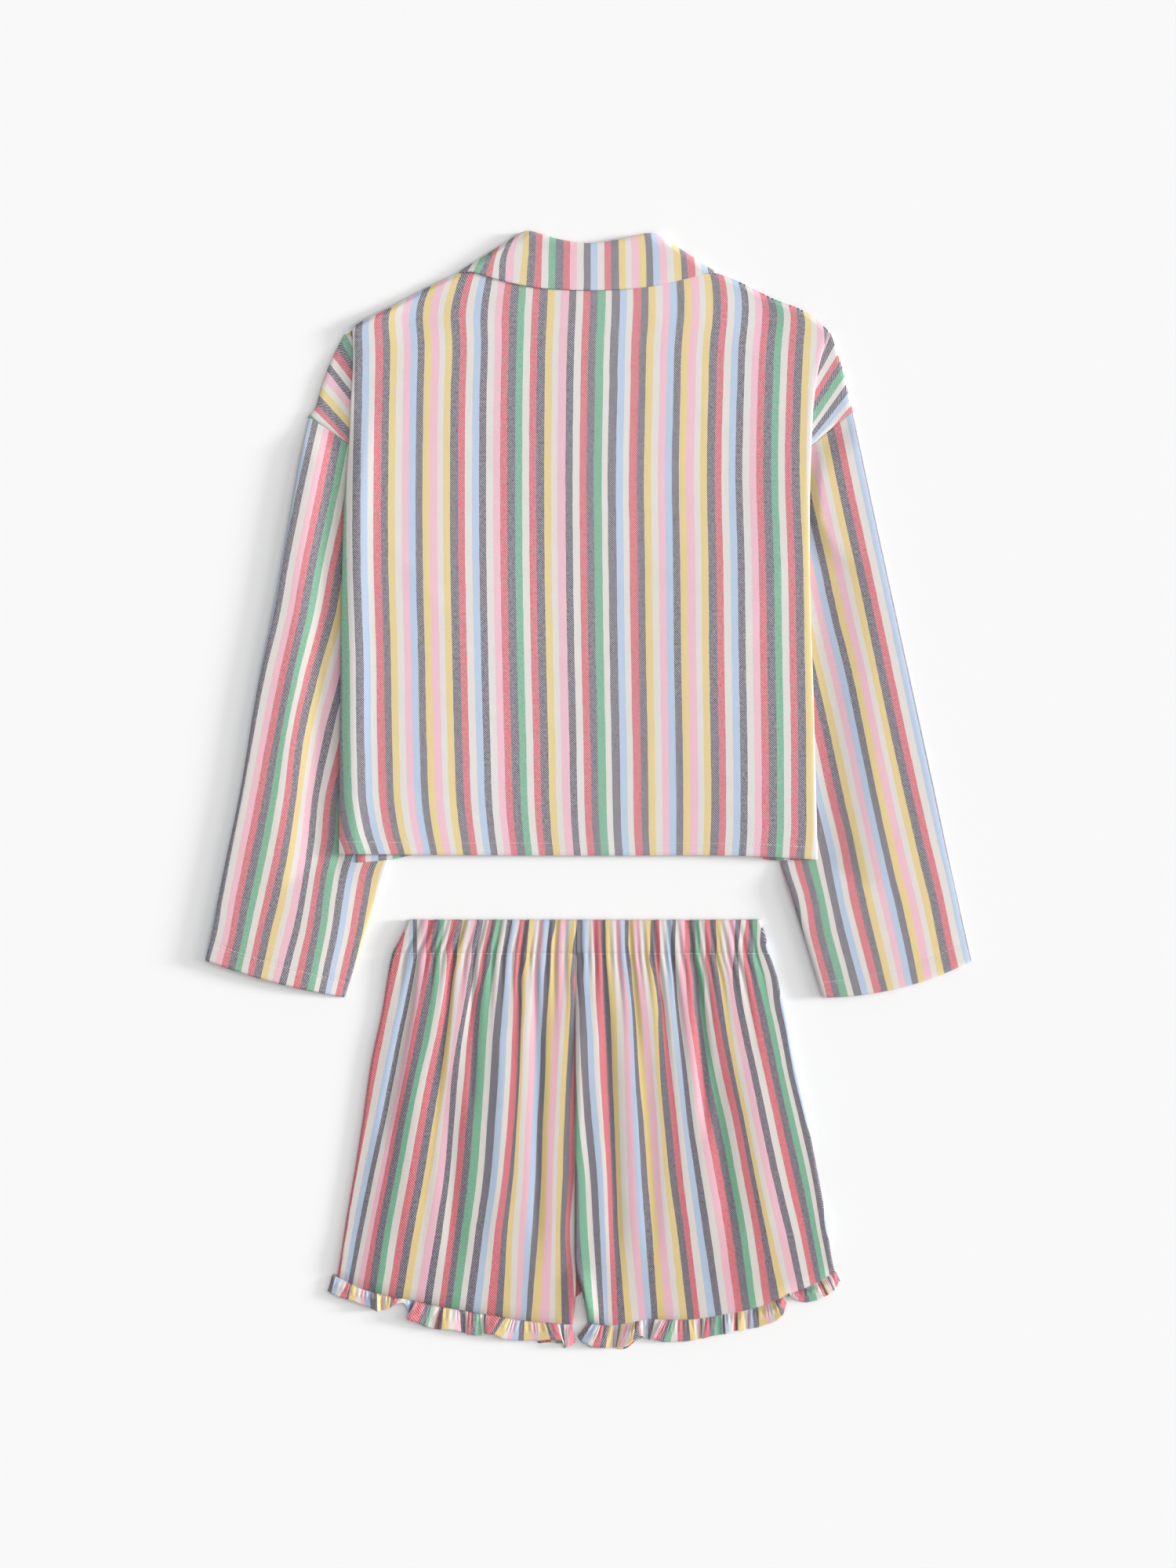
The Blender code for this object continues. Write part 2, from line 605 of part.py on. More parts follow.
def back_height(depth):
    """Height of the outer wall of the shorts' back between its gathers, clear of the front's gathers."""
    return ply_z(outer_ply(depth)) + FRONT_GATHER * fullness(depth, FRONT_RUN)


def gather_columns(side):
    """Columns of a back panel: the share of the way in from the side fold, the height, and the run. Each
    gather of the table is a valley, and the cloth stands up between two valleys."""
    seam_y = WAIST_Y - CASING
    outer, inner = reading(SHORTS_SIDES, "y", side)(seam_y), reading(INNER_EDGES, "y", side)(seam_y)
    valleys = [((gather.x - outer) / (inner - outer), gather.height, gather.run) for gather in GATHERS[side]]
    valleys = [(0, *EDGE_GATHER)] + sorted(valleys) + [(1, *EDGE_GATHER)]
    columns = [(0, 0, 1)]
    for (u0, height0, run0), (u1, height1, run1) in zip(valleys, valleys[1:]):
        columns.append(((u0 + u1) / 2, (height0 + height1) / 2, max(run0, run1)))
        columns.append((u1, 0, 1))
    return columns


def front_columns():
    """Columns of a front panel, evenly gathered."""
    steps = 2 * FRONT_GATHERS
    return [(k / steps, FRONT_GATHER * (k % 2), FRONT_RUN) for k in range(steps + 1)]


def leg_panel(name, side, inward, columns, is_back):
    """A panel of the shorts, whose top edge turns in as the casing. The back also turns under at the side.
    columns gives each column's share of the way in, and its gather's height and run."""
    hem = reading(SHORTS_HEM[side], "x", "y")
    outer, inner = reading(SHORTS_SIDES, "y", side), reading(INNER_EDGES, "y", side)
    inner_z, outer_z = (ply_z(2), ply_z(3)) if is_back else (ply_z(1), ply_z(0))
    low, high = min(inner_z, outer_z), max(inner_z, outer_z)
    edge = bend(low, high) if is_back else bend(low, high)[::-1]
    reach = bend_reach(low, high)
    rows = [(depth, 0, inner_z) for depth in (CASING - CASING_EDGE, CASING / 2)]
    rows += [(reach, past, z) for past, z in edge]
    rows += [(depth, 0, None) for depth in LEG_ROWS]
    first_outer = len(rows) - len(LEG_ROWS) - 1
    grid = []
    for depth, past, z in rows:
        side_reach = bend_reach(ply_z(0), back_height(depth))
        start = side_reach if is_back else side_reach + SHORTS_TURN + SIDE_SEAM
        if z is None:
            z = ply_z(outer_ply(depth)) if is_back else outer_z
        if is_back:
            z += FRONT_GATHER * fullness(depth, FRONT_RUN)
        line = []
        for share, height, run in columns:
            x, y = 0, WAIST_Y - depth
            for _ in range(SETTLE):
                x = mix(outer(y) + inward * start, inner(y), share)
                y = WAIST_Y - depth - (WAIST_Y - LEG_DEPTH - hem(x)) * (depth / LEG_DEPTH) ** 2
            line.append(Vector((x, y + past, z + height * fullness(depth, run))))
        if is_back:
            turned = [Vector((line[0].x + inward * SHORTS_TURN, line[0].y, ply_z(0)))]
            turned += [Vector((line[0].x - inward * beyond, line[0].y, height))
                       for beyond, height in bend(ply_z(0), line[0].z)[:-1]]
            line = turned + line
        grid.append(line if inward > 0 else line[::-1])
    turned_cells = len(grid[0]) - len(columns)
    last = len(grid[0]) - 2

    def live(i, j):
        return i >= first_outer or (j if inward > 0 else last - j) >= turned_cells
    return cloth(name + "_" + side, grid, name, live if is_back else None)


def ruffle(side):
    """A gathered frill round a leg's hem, as a flattened ring. Its lower wall lies on the surface."""
    hem = reading(SHORTS_HEM[side], "x", "y")
    waves = RUFFLES[side]
    columns = [waves[0]]
    for before, after in zip(waves, waves[1:]):
        for share in WAVE_SHARES:
            even = (mix(a, b, share) for a, b in zip(before, after))
            columns.append(Wave(*even)._replace(lift=mix(before.lift, after.lift, ease(share))))
        columns.append(after)
    low_z, high_z = ply_z(0), ply_z(1)
    turned = bend(low_z, high_z)[1:-1]
    reach = bend_reach(low_z, high_z)
    grid = []
    for share in RUFFLE_ROWS:
        rise = ease(share / RUFFLE_RISE)

        def point(wave, z, lift, beyond=0.0):
            x = mix(wave.seam_x, wave.edge_x, share) + beyond
            y = hem(wave.seam_x) - 2 * GAP - wave.drop * share
            return Vector((x, y, z + lift * rise))
        line = [point(wave, high_z, wave.lift) for wave in columns]
        for wave, sign, curl in ((columns[-1], 1, turned[::-1]), (columns[0], -1, turned)):
            for past, z in curl:
                height = mix(UNDER_LIFT, 1, (z - low_z) / PLY)
                line.append(point(wave, z, wave.lift * height, sign * past))
            if sign > 0:
                line += [point(wave, low_z, wave.lift * UNDER_LIFT) for wave in columns[::-1]]
        grid.append(line)
    return cloth("ruffle_" + side, grid, "ruffle", ring=True)


def main():
    clear_scene()
    shirt_back()
    shirt_front("left", 1, PLACKET_PLIES + 1)
    shirt_front("right", -1, PLACKET_PLIES)
    collar()
    for number in range(1, BUTTONS + 1):
        button(number)
    for side, inward in (("left", 1), ("right", -1)):
        sleeve(side)
        leg_panel("shorts_back", side, inward, gather_columns(side), True)
        leg_panel("shorts_front", side, inward, front_columns(), False)
        ruffle(side)


main()
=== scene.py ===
"""Looks of a striped pyjama set that lies flat with its back up: a shirt above a pair of ruffled shorts.

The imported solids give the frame. Each panel of cloth is made again here as a thin closed wall with the twill,
stripes, folds and stitching of the real one. Tables are in millimetres in the frame's own axes: X runs to the
right, Y up towards the collar, and Z up from the surface. Left and right are the wearer's.

A patch is a grid of points on the middle of the cloth, with the place of each point in the flat cut. Its rows
run down the piece and its columns to the right.
"""
import math
from collections import namedtuple

import bpy
import numpy as np
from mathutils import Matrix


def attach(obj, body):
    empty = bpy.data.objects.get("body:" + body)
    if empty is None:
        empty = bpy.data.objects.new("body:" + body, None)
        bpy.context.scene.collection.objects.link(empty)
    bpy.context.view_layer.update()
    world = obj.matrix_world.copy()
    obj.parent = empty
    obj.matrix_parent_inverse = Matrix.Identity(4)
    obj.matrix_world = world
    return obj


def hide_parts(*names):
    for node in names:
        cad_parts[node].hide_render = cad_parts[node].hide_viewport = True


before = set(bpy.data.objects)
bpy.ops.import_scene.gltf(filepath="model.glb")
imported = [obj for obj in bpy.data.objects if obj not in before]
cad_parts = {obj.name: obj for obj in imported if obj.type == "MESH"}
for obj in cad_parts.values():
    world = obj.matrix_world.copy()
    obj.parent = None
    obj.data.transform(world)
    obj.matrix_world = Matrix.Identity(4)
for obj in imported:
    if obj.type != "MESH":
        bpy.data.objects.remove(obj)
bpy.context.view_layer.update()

bl_info = {
    "name": "Striped pyjama set",
    "version": (1, 0, 0),
    "blender": (4, 5, 0),
    "location": "3D View > Sidebar > Pyjama set",
    "description": "Dresses a laid-out pyjama set in striped brushed twill",
    "category": "Object",
}

MM = 0.001
BODY = "root"
SIDES = ("left", "right")
CLOTH = 0.45                # half the thickness of one layer
FLOOR_LAYER = 0.5           # middle height of cloth on the surface
SETTLE = 4                  # passes that bring the X and Y of a curved grid into step

Patch = namedtuple("Patch", "mid cut half live", defaults=(None,))
Cut = namedtuple("Cut", "width length area held")
Sides = namedtuple("Sides", "y left right")
Section = namedtuple("Section", "outer_x outer_y inner_x inner_y")
Station = namedtuple("Station", "roll_x roll_y edge_x edge_y")
Valley = namedtuple("Valley", "x depth run")
# A piece's painted shade: the tint that darkens it, and the share of the weft that shows
ShadeTone = namedtuple("ShadeTone", "tint weft")
Fold = namedtuple("Fold", "start end width height")
Frill = namedtuple("Frill", "stripe seam_x edge_x edge_y lift")
Recess = namedtuple("Recess", "y start run dip")
Turned = namedtuple("Turned", "back height out")    # out is how far a row bulges past the waist
Lamp = namedtuple("Lamp", "name strength softness height")

# ---- the woven pattern ----

STRIPE_ORDER = (
    "green white black blue white red black yellow white pink blue black yellow pink white yellow black red "
    "white blue black white pink red black green white red black yellow white pink black white red black"
).split()
STRIPE_WIDTH = {
    "white": 5.7, "yellow": 6.2, "blue": 6.2, "pink": 6.65, "red": 6.65, "green": 6.65, "black": 6.65,
}
STRIPE_STARTS = np.cumsum([0.0] + [STRIPE_WIDTH[name] for name in STRIPE_ORDER])
REPEAT = float(STRIPE_STARTS[-1])


def stripe_place(number):
    """Distance across the cloth to where a stripe starts. Stripe 37 is stripe 1 of the next repeat."""
    turns, place = np.divmod(np.asarray(number, float) - 1, len(STRIPE_ORDER))
    return turns * REPEAT + np.interp(place, np.arange(len(STRIPE_STARTS)), STRIPE_STARTS)


# ---- plain tools ----

def smooth(at, values):
    """A function on a smooth curve through values at the given places, straight on past both ends."""
    at, values = np.asarray(at, float), np.asarray(values, float)
    if at[0] > at[-1]:
        at, values = at[::-1], values[::-1]
    slope = np.gradient(values, at)

    def read(place):
        inside = np.clip(place, at[0], at[-1])
        k = np.clip(np.searchsorted(at, inside) - 1, 0, len(at) - 2)
        gap = at[k + 1] - at[k]
        t = (inside - at[k]) / gap
        a, b = values[k], values[k + 1]
        value = (2 * t - 3) * t * t * (a - b) + a
        value = value + t * (t - 1) * gap * ((t - 1) * slope[k] + t * slope[k + 1])
        return value + (place - inside) * np.where(place < inside, slope[0], slope[-1])
    return read


def column(rows, want, at="y"):
    """A smooth function that reads one column of a table of named rows by another."""
    return smooth([getattr(row, at) for row in rows], [getattr(row, want) for row in rows])


def curve(*points):
    """A smooth function y(x) through points."""
    return smooth(*zip(*points))


def reached(points):
    """Distance along a line from its first point to each of its points."""
    return np.concatenate([[0], np.cumsum(np.linalg.norm(np.diff(points, axis=0), axis=1))])


def path(points, count):
    """count points along a smooth line through points, evenly spaced."""
    points = np.asarray(points, float)
    reach = reached(points)
    at = np.linspace(0, reach[-1], count)
    return np.stack([smooth(reach, points[:, axis])(at) for axis in range(points.shape[1])], -1)


def ease(value):
    """A smooth step from 0 to 1 as value goes from 0 to 1."""
    value = np.clip(value, 0, 1)
    return value * value * (3 - 2 * value)


def bell(distance, width):
    """1 at no distance, falling away softly over width."""
    return np.exp(-(distance / width) ** 2)


def mix(a, b, share):
    """The value at a share of the way from a to b."""
    return a + (b - a) * share


def half_turn(count):
    """count angles, evenly from straight down to straight up round the outside of a fold."""
    return np.linspace(-np.pi / 2, np.pi / 2, count)


def bend(low, high, steps=4):
    """The points of a folded edge from low to high: how far back from its outermost point, and height."""
    radius = (high - low) / 2
    turns = half_turn(steps + 2)
    return radius * (1 - np.cos(turns)), low + radius * (1 + np.sin(turns))


def stripe_field(keys, rows):
    """A function of x and y that gives the distance across the cloth. Each row is y, then x where each key
    stripe starts."""
    rows = sorted(rows)
    reads = [smooth([row[0] for row in rows], [row[k + 1] for row in rows]) for k in range(len(keys))]
    places = stripe_place(keys)

    def across(x, y):
        x, y = np.broadcast_arrays(np.asarray(x, float), np.asarray(y, float))
        edges = np.stack([read(y) for read in reads], -1)
        k = np.clip((edges <= x[..., None]).sum(-1) - 1, 0, len(keys) - 2)
        start = np.take_along_axis(edges, k[..., None], -1)[..., 0]
        end = np.take_along_axis(edges, k[..., None] + 1, -1)[..., 0]
        return mix(places[k], places[k + 1], (x - start) / (end - start))
    return across


def unit(vectors):
    """Vectors brought to length 1."""
    length = np.linalg.norm(vectors, axis=-1, keepdims=True)
    return vectors / np.where(length > 1e-12, length, 1)


def grid(*axes):
    """Stacks equal-shaped coordinates into one grid of points."""
    return np.stack(np.broadcast_arrays(*axes), -1)


def line(x, y, z):
    """Points with the given coordinates, any of which may be one number."""
    return np.column_stack(np.broadcast_arrays(x, y, z))


def crease(x, y, start, end, width, height):
    """A soft ridge, or a valley where height is negative, along a line from start to end."""
    x0, y0, x1, y1 = *start, *end
    length = math.hypot(x1 - x0, y1 - y0)
    ux, uy = (x1 - x0) / length, (y1 - y0) / length
    down, off = (x - x0) * ux + (y - y0) * uy, (x - x0) * -uy + (y - y0) * ux
    fade = ease(down / (0.25 * length)) * ease((length - down) / (0.25 * length))
    return height * bell(off, width) * fade


def side_of(side):
    """The direction of the centre along X."""
    return 1 if side == "left" else -1


def facing_up(side, mid, cut, live=None):
    """A patch whose columns were made as on the left side, reversed on the right one so that it faces up."""
    if side == "right":
        mid, cut = mid[:, ::-1], cut[:, ::-1]
        live = None if live is None else live[:, ::-1]
    return Patch(mid, cut, CLOTH, live)


# ---- cloth walls ----

RIM = 0.8                   # how far a rim bulges, as a share of half the cloth's thickness


def wall(patch):
    """Points, quads and cut places of a closed wall round a patch's middle points, with rounded rims."""
    mid, cut = np.asarray(patch.mid, float), np.asarray(patch.cut, float)
    rows, columns = mid.shape[:2]
    live = np.ones((rows - 1, columns - 1), bool) if patch.live is None else patch.live
    number = np.arange(rows * columns).reshape(rows, columns)
    a, b, c, d = (number[:-1, :-1][live], number[1:, :-1][live], number[1:, 1:][live], number[:-1, 1:][live])
    flat = mid.reshape(-1, 3)
    facing = np.cross(flat[c] - flat[a], flat[d] - flat[b])
    normal = np.zeros_like(flat)
    for corner in (a, b, c, d):
        np.add.at(normal, corner, facing)
    normal = unit(normal)
    half = np.broadcast_to(np.asarray(patch.half, float), (rows, columns)).reshape(-1, 1)
    total = rows * columns
    starts, ends = np.concatenate([a, b, c, d]), np.concatenate([b, c, d, a])
    open_edge = ~np.isin(ends * total + starts, starts * total + ends)
    starts, ends = starts[open_edge], ends[open_edge]
    outward = np.zeros_like(flat)
    away = unit(np.cross(flat[ends] - flat[starts], normal[starts] + normal[ends]))
    np.add.at(outward, starts, away)
    np.add.at(outward, ends, away)
    points = np.concatenate([flat + normal * half, flat - normal * half, flat + unit(outward) * half * RIM])
    quads = np.concatenate([
        np.stack([a, b, c, d], -1), np.stack([d, c, b, a], -1) + total,
        np.stack([ends, starts, starts + 2 * total, ends + 2 * total], -1),
        np.stack([ends + 2 * total, starts + 2 * total, starts + total, ends + total], -1),
    ])
    cuts = np.tile(cut.reshape(-1, cut.shape[-1]), (3, 1))
    used, quads = np.unique(quads, return_inverse=True)
    return points[used], quads.reshape(-1, 4), cuts[used]


def mesh_object(name, points, faces, material, cuts=None):
    """An object from points in mm and faces that all have the same number of corners."""
    faces = np.asarray(faces)
    mesh = bpy.data.meshes.new(name)
    mesh.vertices.add(len(points))
    mesh.vertices.foreach_set("co", (np.asarray(points) * MM).ravel())
    mesh.loops.add(faces.size)
    mesh.loops.foreach_set("vertex_index", faces.ravel())
    mesh.polygons.add(len(faces))
    mesh.polygons.foreach_set("loop_start", np.arange(len(faces)) * faces.shape[1])
    mesh.polygons.foreach_set("loop_total", np.full(len(faces), faces.shape[1]))
    mesh.update(calc_edges=True)
    mesh.shade_smooth()
    if cuts is not None:
        places = np.concatenate([cuts, np.zeros((len(cuts), 3 - cuts.shape[1]))], -1)
        mesh.attributes.new("cut", "FLOAT_VECTOR", "POINT").data.foreach_set("vector", places.ravel())
    mesh.materials.append(material)
    made = bpy.data.objects.new(name, mesh)
    bpy.context.scene.collection.objects.link(made)
    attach(made, BODY)
    return made


def cloth(name, patches, slot, nodes):
    """One sheet of cloth from its patches, which stands for the named solids."""
    points, quads, cuts, base = [], [], [], 0
    for patch in patches:
        new_points, new_quads, new_cuts = wall(patch)
        points.append(new_points)
        quads.append(new_quads + base)
        cuts.append(new_cuts)
        base += len(new_points)
    points, quads, cuts = (np.concatenate(parts) for parts in (points, quads, cuts))
    made = mesh_object(name + "_cloth", points, quads, flannel(slot), cuts)
    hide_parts(*nodes)
    return made


# ---- shirt: tables ----

SHIRT_SIDES = (
    Sides(407, -210, 214.5), Sides(380, -209.6, 205.8), Sides(345, -211.8, 200.6), Sides(310, -213.1, 198.6),
    Sides(257, -217.2, 197), Sides(187, -219.4, 197.2), Sides(75, -221, 200.5), Sides(-66, -222.3, 204),
)
BACK_TOP = (
    (-217, 406.5), (-208, 413.5), (-177, 429.5), (-143, 448), (-119, 459), (-100, 464), (-60, 470), (0, 472),
    (60, 470), (100, 464), (123, 457.5), (162, 439), (203, 419), (214.5, 408),
)
BACK_HEM = ((-222, -57), (-195, -57), (-150, -57.5), (0, -58.3), (150, -59), (204, -62))
FRONT_HEM = (
    (-222, -64.8), (-197, -64), (-172, -61), (-150, -56), (0, -56), (140, -57), (160, -62), (204, -60),
)
BACK_STRIPES = stripe_field((5, 17, 29, 41, 53, 65), (
    (455, -193.0, -116.9, -43.2, 33.9, 110.3, 186.5), (425, -198.0, -122.8, -44.3, 33.7, 111.0, 187.0),
    (397, -195.9, -121.4, -45.7, 32.3, 108.2, 184.6), (355, -196.2, -122.8, -46.4, 31.6, 106.8, 182.5),
    (285, -197.3, -123.5, -46.7, 30.2, 105.4, 181.1), (201, -197.3, -123.1, -46.4, 30.9, 106.8, 183.9),
    (117, -194.8, -121.4, -45.0, 32.0, 107.5, 185.3), (33, -193.7, -119.3, -42.9, 33.7, 108.9, 186.7),
    (-16, -191.3, -117.2, -41.8, 34.4, 109.3, 186.7), (-37, -187.5, -114.7, -40.4, 34.8, 108.9, 186.7),
    (-51, -183.3, -112.6, -39.0, 35.8, 108.2, 185.7),
))
SHOULDER_END = {
    "left": ((-217, 406), (-226, 388), (-237, 359.5), (-244, 338), (-249, 332.5)),
    "right": ((216, 407.5), (220, 393), (227, 370), (231.5, 349), (235, 337.8)),
}
# Stripe borders of a shoulder's end: stripe, where it meets the outer edge, where it meets the body's fold.
END_STRIPES = {
    "left": (
        (38, -216.65, 406.35, -211.05, 395.15), (37, -220.15, 399.35, -209.65, 380.45),
        (35, -227.85, 384.65, -210.35, 362.25), (33, -232.75, 372.05, -211.25, 344.75),
        (31, -237.65, 358.05, -212.65, 330.05), (29, -242.55, 344.05, -214.05, 313.25),
        (28, -243.95, 337.75, -214.0, 308.7), (27, -247.0, 333.5, -214.0, 302.0),
    ),
    "right": (
        (33, 215.25, 405.65, 206.85, 384.65), (35, 221.55, 388.85, 204.05, 360.15),
        (37, 225.05, 374.85, 201.25, 337.75), (39, 228.55, 360.15, 199.85, 320.25),
        (41, 231.35, 346.15, 199.0, 308.2), (42, 232.75, 341.25, 199.0, 302.3),
        (43, 235.0, 337.0, 199.0, 296.0),
    ),
}
ARMHOLE = {"left": ((-249, 332.5), (-105, 239)), "right": ((235, 337.8), (98, 223.5))}
SLEEVES = {
    "left": (
        Section(-249, 332.5, -105, 239), Section(-256.5, 300, -115, 196), Section(-265.5, 250, -127, 143),
        Section(-279.5, 170, -143, 80), Section(-295.8, 87, -161, 10), Section(-309, 5, -179, -61),
        Section(-324.5, -70, -197.5, -120), Section(-341.2, -151, -217.4, -184),
    ),
    "right": (
        Section(235, 337.8, 98, 223.5), Section(242.5, 303, 107, 188), Section(252.5, 256, 118, 143),
        Section(270, 175, 134, 80), Section(287.5, 95, 152.5, 10), Section(305, 15, 171, -64),
        Section(321.5, -63, 188.5, -118), Section(341, -151.5, 209, -184),
    ),
}
SLEEVE_STRIPES = {
    "left": stripe_field((21, 25, 29, 33, 37, 41), (
        (324, -247.9, -225.3, -198.7, -173.2, -147.1, -121.5),
        (243, -265.4, -241.4, -215.6, -190.1, -164.0, -138.4),
        (201, -273.8, -249.8, -225.2, -199.5, -173.4, -147.8),
        (159, -280.8, -257.2, -232.9, -206.6, -180.6, -155.0),
        (103, -294.8, -269.1, -248.0, -222.4, -196.4, -170.8),
        (47, -305.5, -280.3, -260.1, -237.3, -207.1, -181.5),
        (-9, -315.9, -290.5, -266.2, -247.4, -223.8, -198.3),
        (-51, -324.2, -298.9, -273.2, -251.6, -227.7, -202.1),
        (-72, -327.8, -303.4, -277.4, -254.4, -232.6, -209.1),
        (-100, -332.9, -309.3, -283.7, -258.6, -236.8, -214.1),
        (-128, -337.3, -314.2, -290.7, -264.9, -240.4, -218.6),
        (-149, -343.4, -319.1, -294.9, -270.5, -244.6, -223.2),
    )),
    "right": stripe_field((1, 5, 9, 13, 17, 21), (
        (324, 111.7, 136.9, 162.0, 187.0, 211.6, 237.4), (285, 119.4, 144.6, 169.7, 194.7, 219.2, 245.2),
        (243, 127.9, 153.1, 178.2, 203.2, 228.0, 254.2), (201, 137.6, 162.7, 187.8, 212.8, 237.5, 263.3),
        (159, 146.4, 171.5, 196.6, 221.7, 246.5, 272.5), (103, 158.8, 184.0, 209.6, 235.7, 258.0, 284.4),
        (47, 171.1, 196.3, 222.6, 246.9, 269.9, 296.3), (-9, 183.1, 208.7, 234.4, 258.1, 282.5, 308.5),
        (-51, 193.3, 218.9, 243.6, 267.2, 292.3, 317.9), (-72, 197.9, 222.7, 247.8, 272.1, 297.2, 323.2),
        (-100, 204.8, 227.6, 253.7, 279.1, 304.2, 329.1), (-128, 209.8, 234.6, 260.4, 285.4, 309.8, 334.8),
        (-149, 215.4, 240.2, 265.3, 289.6, 314.0, 340.0),
    )),
}

BACK_CREASES = (
    Fold((-190, 60), (-120, 40), 5.0, 0.28), Fold((-180, 10), (-90, -20), 6.0, -0.30),
    Fold((-150, 90), (-60, 60), 6.0, 0.22), Fold((-60, 20), (10, 0), 5.0, 0.22),
    Fold((70, -10), (150, -35), 7.0, -0.35), Fold((90, 20), (180, 0), 6.0, 0.25),
    Fold((-185, 230), (-120, 150), 8.0, 0.30), Fold((185, 220), (130, 130), 8.0, 0.28),
    Fold((110, 330), (60, 250), 8.0, -0.22), Fold((-110, 330), (-70, 240), 8.0, -0.22),
    Fold((-30, 120), (40, 90), 6.0, 0.20), Fold((20, 200), (90, 170), 7.0, -0.20),
)

FOLD = 1.1                  # radius of a folded edge of one panel
TURN_UNDER = 12.0           # cloth past the fold, under the back
SLEEVE_TOP_Y = 240          # above it, a sleeve's inner edge counts as it is here
PRESSED = 3.0               # middle height of a sleeve's upper layer where the body presses on it
BACK_HEIGHT = (6.6, 8.8)    # middle height of the back between the sleeves, and on them
SHOULDER_HEIGHT = (4.6, 2.1)    # at the shoulder seam near the neck, and how much more at its outer ends
BACK_ROWS, BACK_COLUMNS = 126, 106
TOP_PULL = 3.5              # how far the stripes lean out at the shoulder seams
END_ROWS, END_COLUMNS = 24, 12
END_HEIGHT = (2.4, 3.4)     # middle height of a shoulder's end at its tip, and from half way on
END_LOW = 1.5               # middle height of its turned-in layer
FRONT_CENTRE = 14.0         # how far a front goes past the centre, under or over the other
FRONT_LAP_RISE = {"left": 2.75, "right": 1.7}   # how far the lap lifts each front
OVER_SLEEVE = 1.1           # from the middle of a sleeve or a collar's leaf to the front that lies on it
NECK_HALF = 60              # half the width of the neckline
SEAM_REACH = (-217, 214)    # X of both ends of the shoulder seams
NECKLINE_Y = (405, 470)     # at the first button, and at the shoulder seams
ARMHOLE_GAP = 12            # how far the front's lower part starts below the armhole


def sleeve_edge(side):
    """X of a sleeve's inner edge at a given Y."""
    return column(SLEEVES[side], "inner_x", "inner_y")


def on_sleeve(x, y):
    """1 where the body lies on a sleeve, easing to 0 beside it."""
    total = 0
    for side in SIDES:
        inside = (x - sleeve_edge(side)(np.minimum(y, SLEEVE_TOP_Y))) * side_of(side)
        total = total + (1 - ease((inside + 6) / 150)) * ease((curve(*ARMHOLE[side])(x) - y + 60) / 160)
    return np.clip(total, 0, 1)


def under_body(side, x, y):
    """Middle height of a sleeve's upper layer under the body, a little less away from the armhole."""
    return PRESSED - 0.4 * ease((curve(*ARMHOLE[side])(x) - y) / 50)


def lap(x, half=16.0, fade=18.0):
    """1 on the lap of the two fronts, easing to 0 beside it."""
    return 1 - ease((np.abs(x) - half) / fade)


def back_z(x, y):
    """Middle height of the shirt's back."""
    plateau = mix(*BACK_HEIGHT, on_sleeve(x, y)) + 0.3 * lap(x)
    seam, more = SHOULDER_HEIGHT
    shoulder = seam + more * ease((np.abs(x) - 150) / 40)
    z = mix(shoulder, np.maximum(plateau, shoulder), ease((curve(*BACK_TOP)(x) - y) / 60))
    for fold in BACK_CREASES:
        z = z + crease(x, y, *fold)
    # The left side fold is rolled: it dips at the fold and rises beside it.
    from_fold = x - column(SHIRT_SIDES, "left")(y)
    return z + ease((350 - y) / 60) * (1.6 * bell(from_fold - 14, 9) - 1.4 * bell(from_fold, 4))


def turned_under(edge, edge_cut, inward):
    """Columns of cloth, and their cut, from the free edge under the back out to the edge that they join."""
    back, height = bend(-2 * FOLD, 0)
    past = np.concatenate([[TURN_UNDER, TURN_UNDER / 2, 0], back[1:-1] - FOLD])
    fall = np.concatenate([[-2 * FOLD] * 3, height[1:-1]])
    turned = np.clip(np.arange(len(past)) - 2, 0, None) / (len(back) - 1)
    under = math.pi * FOLD * (1 - turned) + np.clip(past, 0, None)
    return edge[:, None] + grid(inward * past, 0, fall), edge_cut[:, None] - grid(inward * under, 0)


def back_patch():
    """The shirt's back, with the cloth past its side folds turned under and a rounded top edge."""
    top, hem = curve(*BACK_TOP), curve(*BACK_HEM)
    left, right = column(SHIRT_SIDES, "left"), column(SHIRT_SIDES, "right")
    down, share = np.linspace(0, 1, BACK_ROWS)[:, None], np.linspace(0, 1, BACK_COLUMNS)[None, :]
    y = mix(440, -60, down) + 0 * share
    for _ in range(SETTLE):
        x = mix(left(y) + FOLD, right(y) - FOLD, share)
        y = mix(top(x) - FOLD, hem(x), down)
    mid = grid(x, y, back_z(x, y))
    pulled = TOP_PULL * np.sign(x) * ease((np.abs(x) - 40) / 40) * np.exp((y - top(x)) / 5)
    cut = grid(BACK_STRIPES(x + pulled, y), y)

    (left, left_cut), (right, right_cut) = (turned_under(mid[:, k], cut[:, k], inward)
                                            for k, inward in ((0, 1), (-1, -1)))
    mid = np.concatenate([left, mid, right[:, ::-1]], 1)
    cut = np.concatenate([left_cut, cut, right_cut[:, ::-1]], 1)

    back, height = bend(-2 * FOLD, 0)
    rim = [mid[0] + np.array([0, FOLD - past, fall]) for past, fall in zip(back[-2:0:-1], height[-2:0:-1])]
    rim_cut = [cut[0] + np.array([0, 1.5])] * len(rim)
    mid, cut = np.concatenate([rim, mid]), np.concatenate([rim_cut, cut])
    live = np.ones((mid.shape[0] - 1, mid.shape[1] - 1), bool)
    turned = left.shape[1]
    live[:len(rim), :turned] = False
    live[:len(rim), -turned:] = False
    return Patch(mid, cut, CLOTH, live)


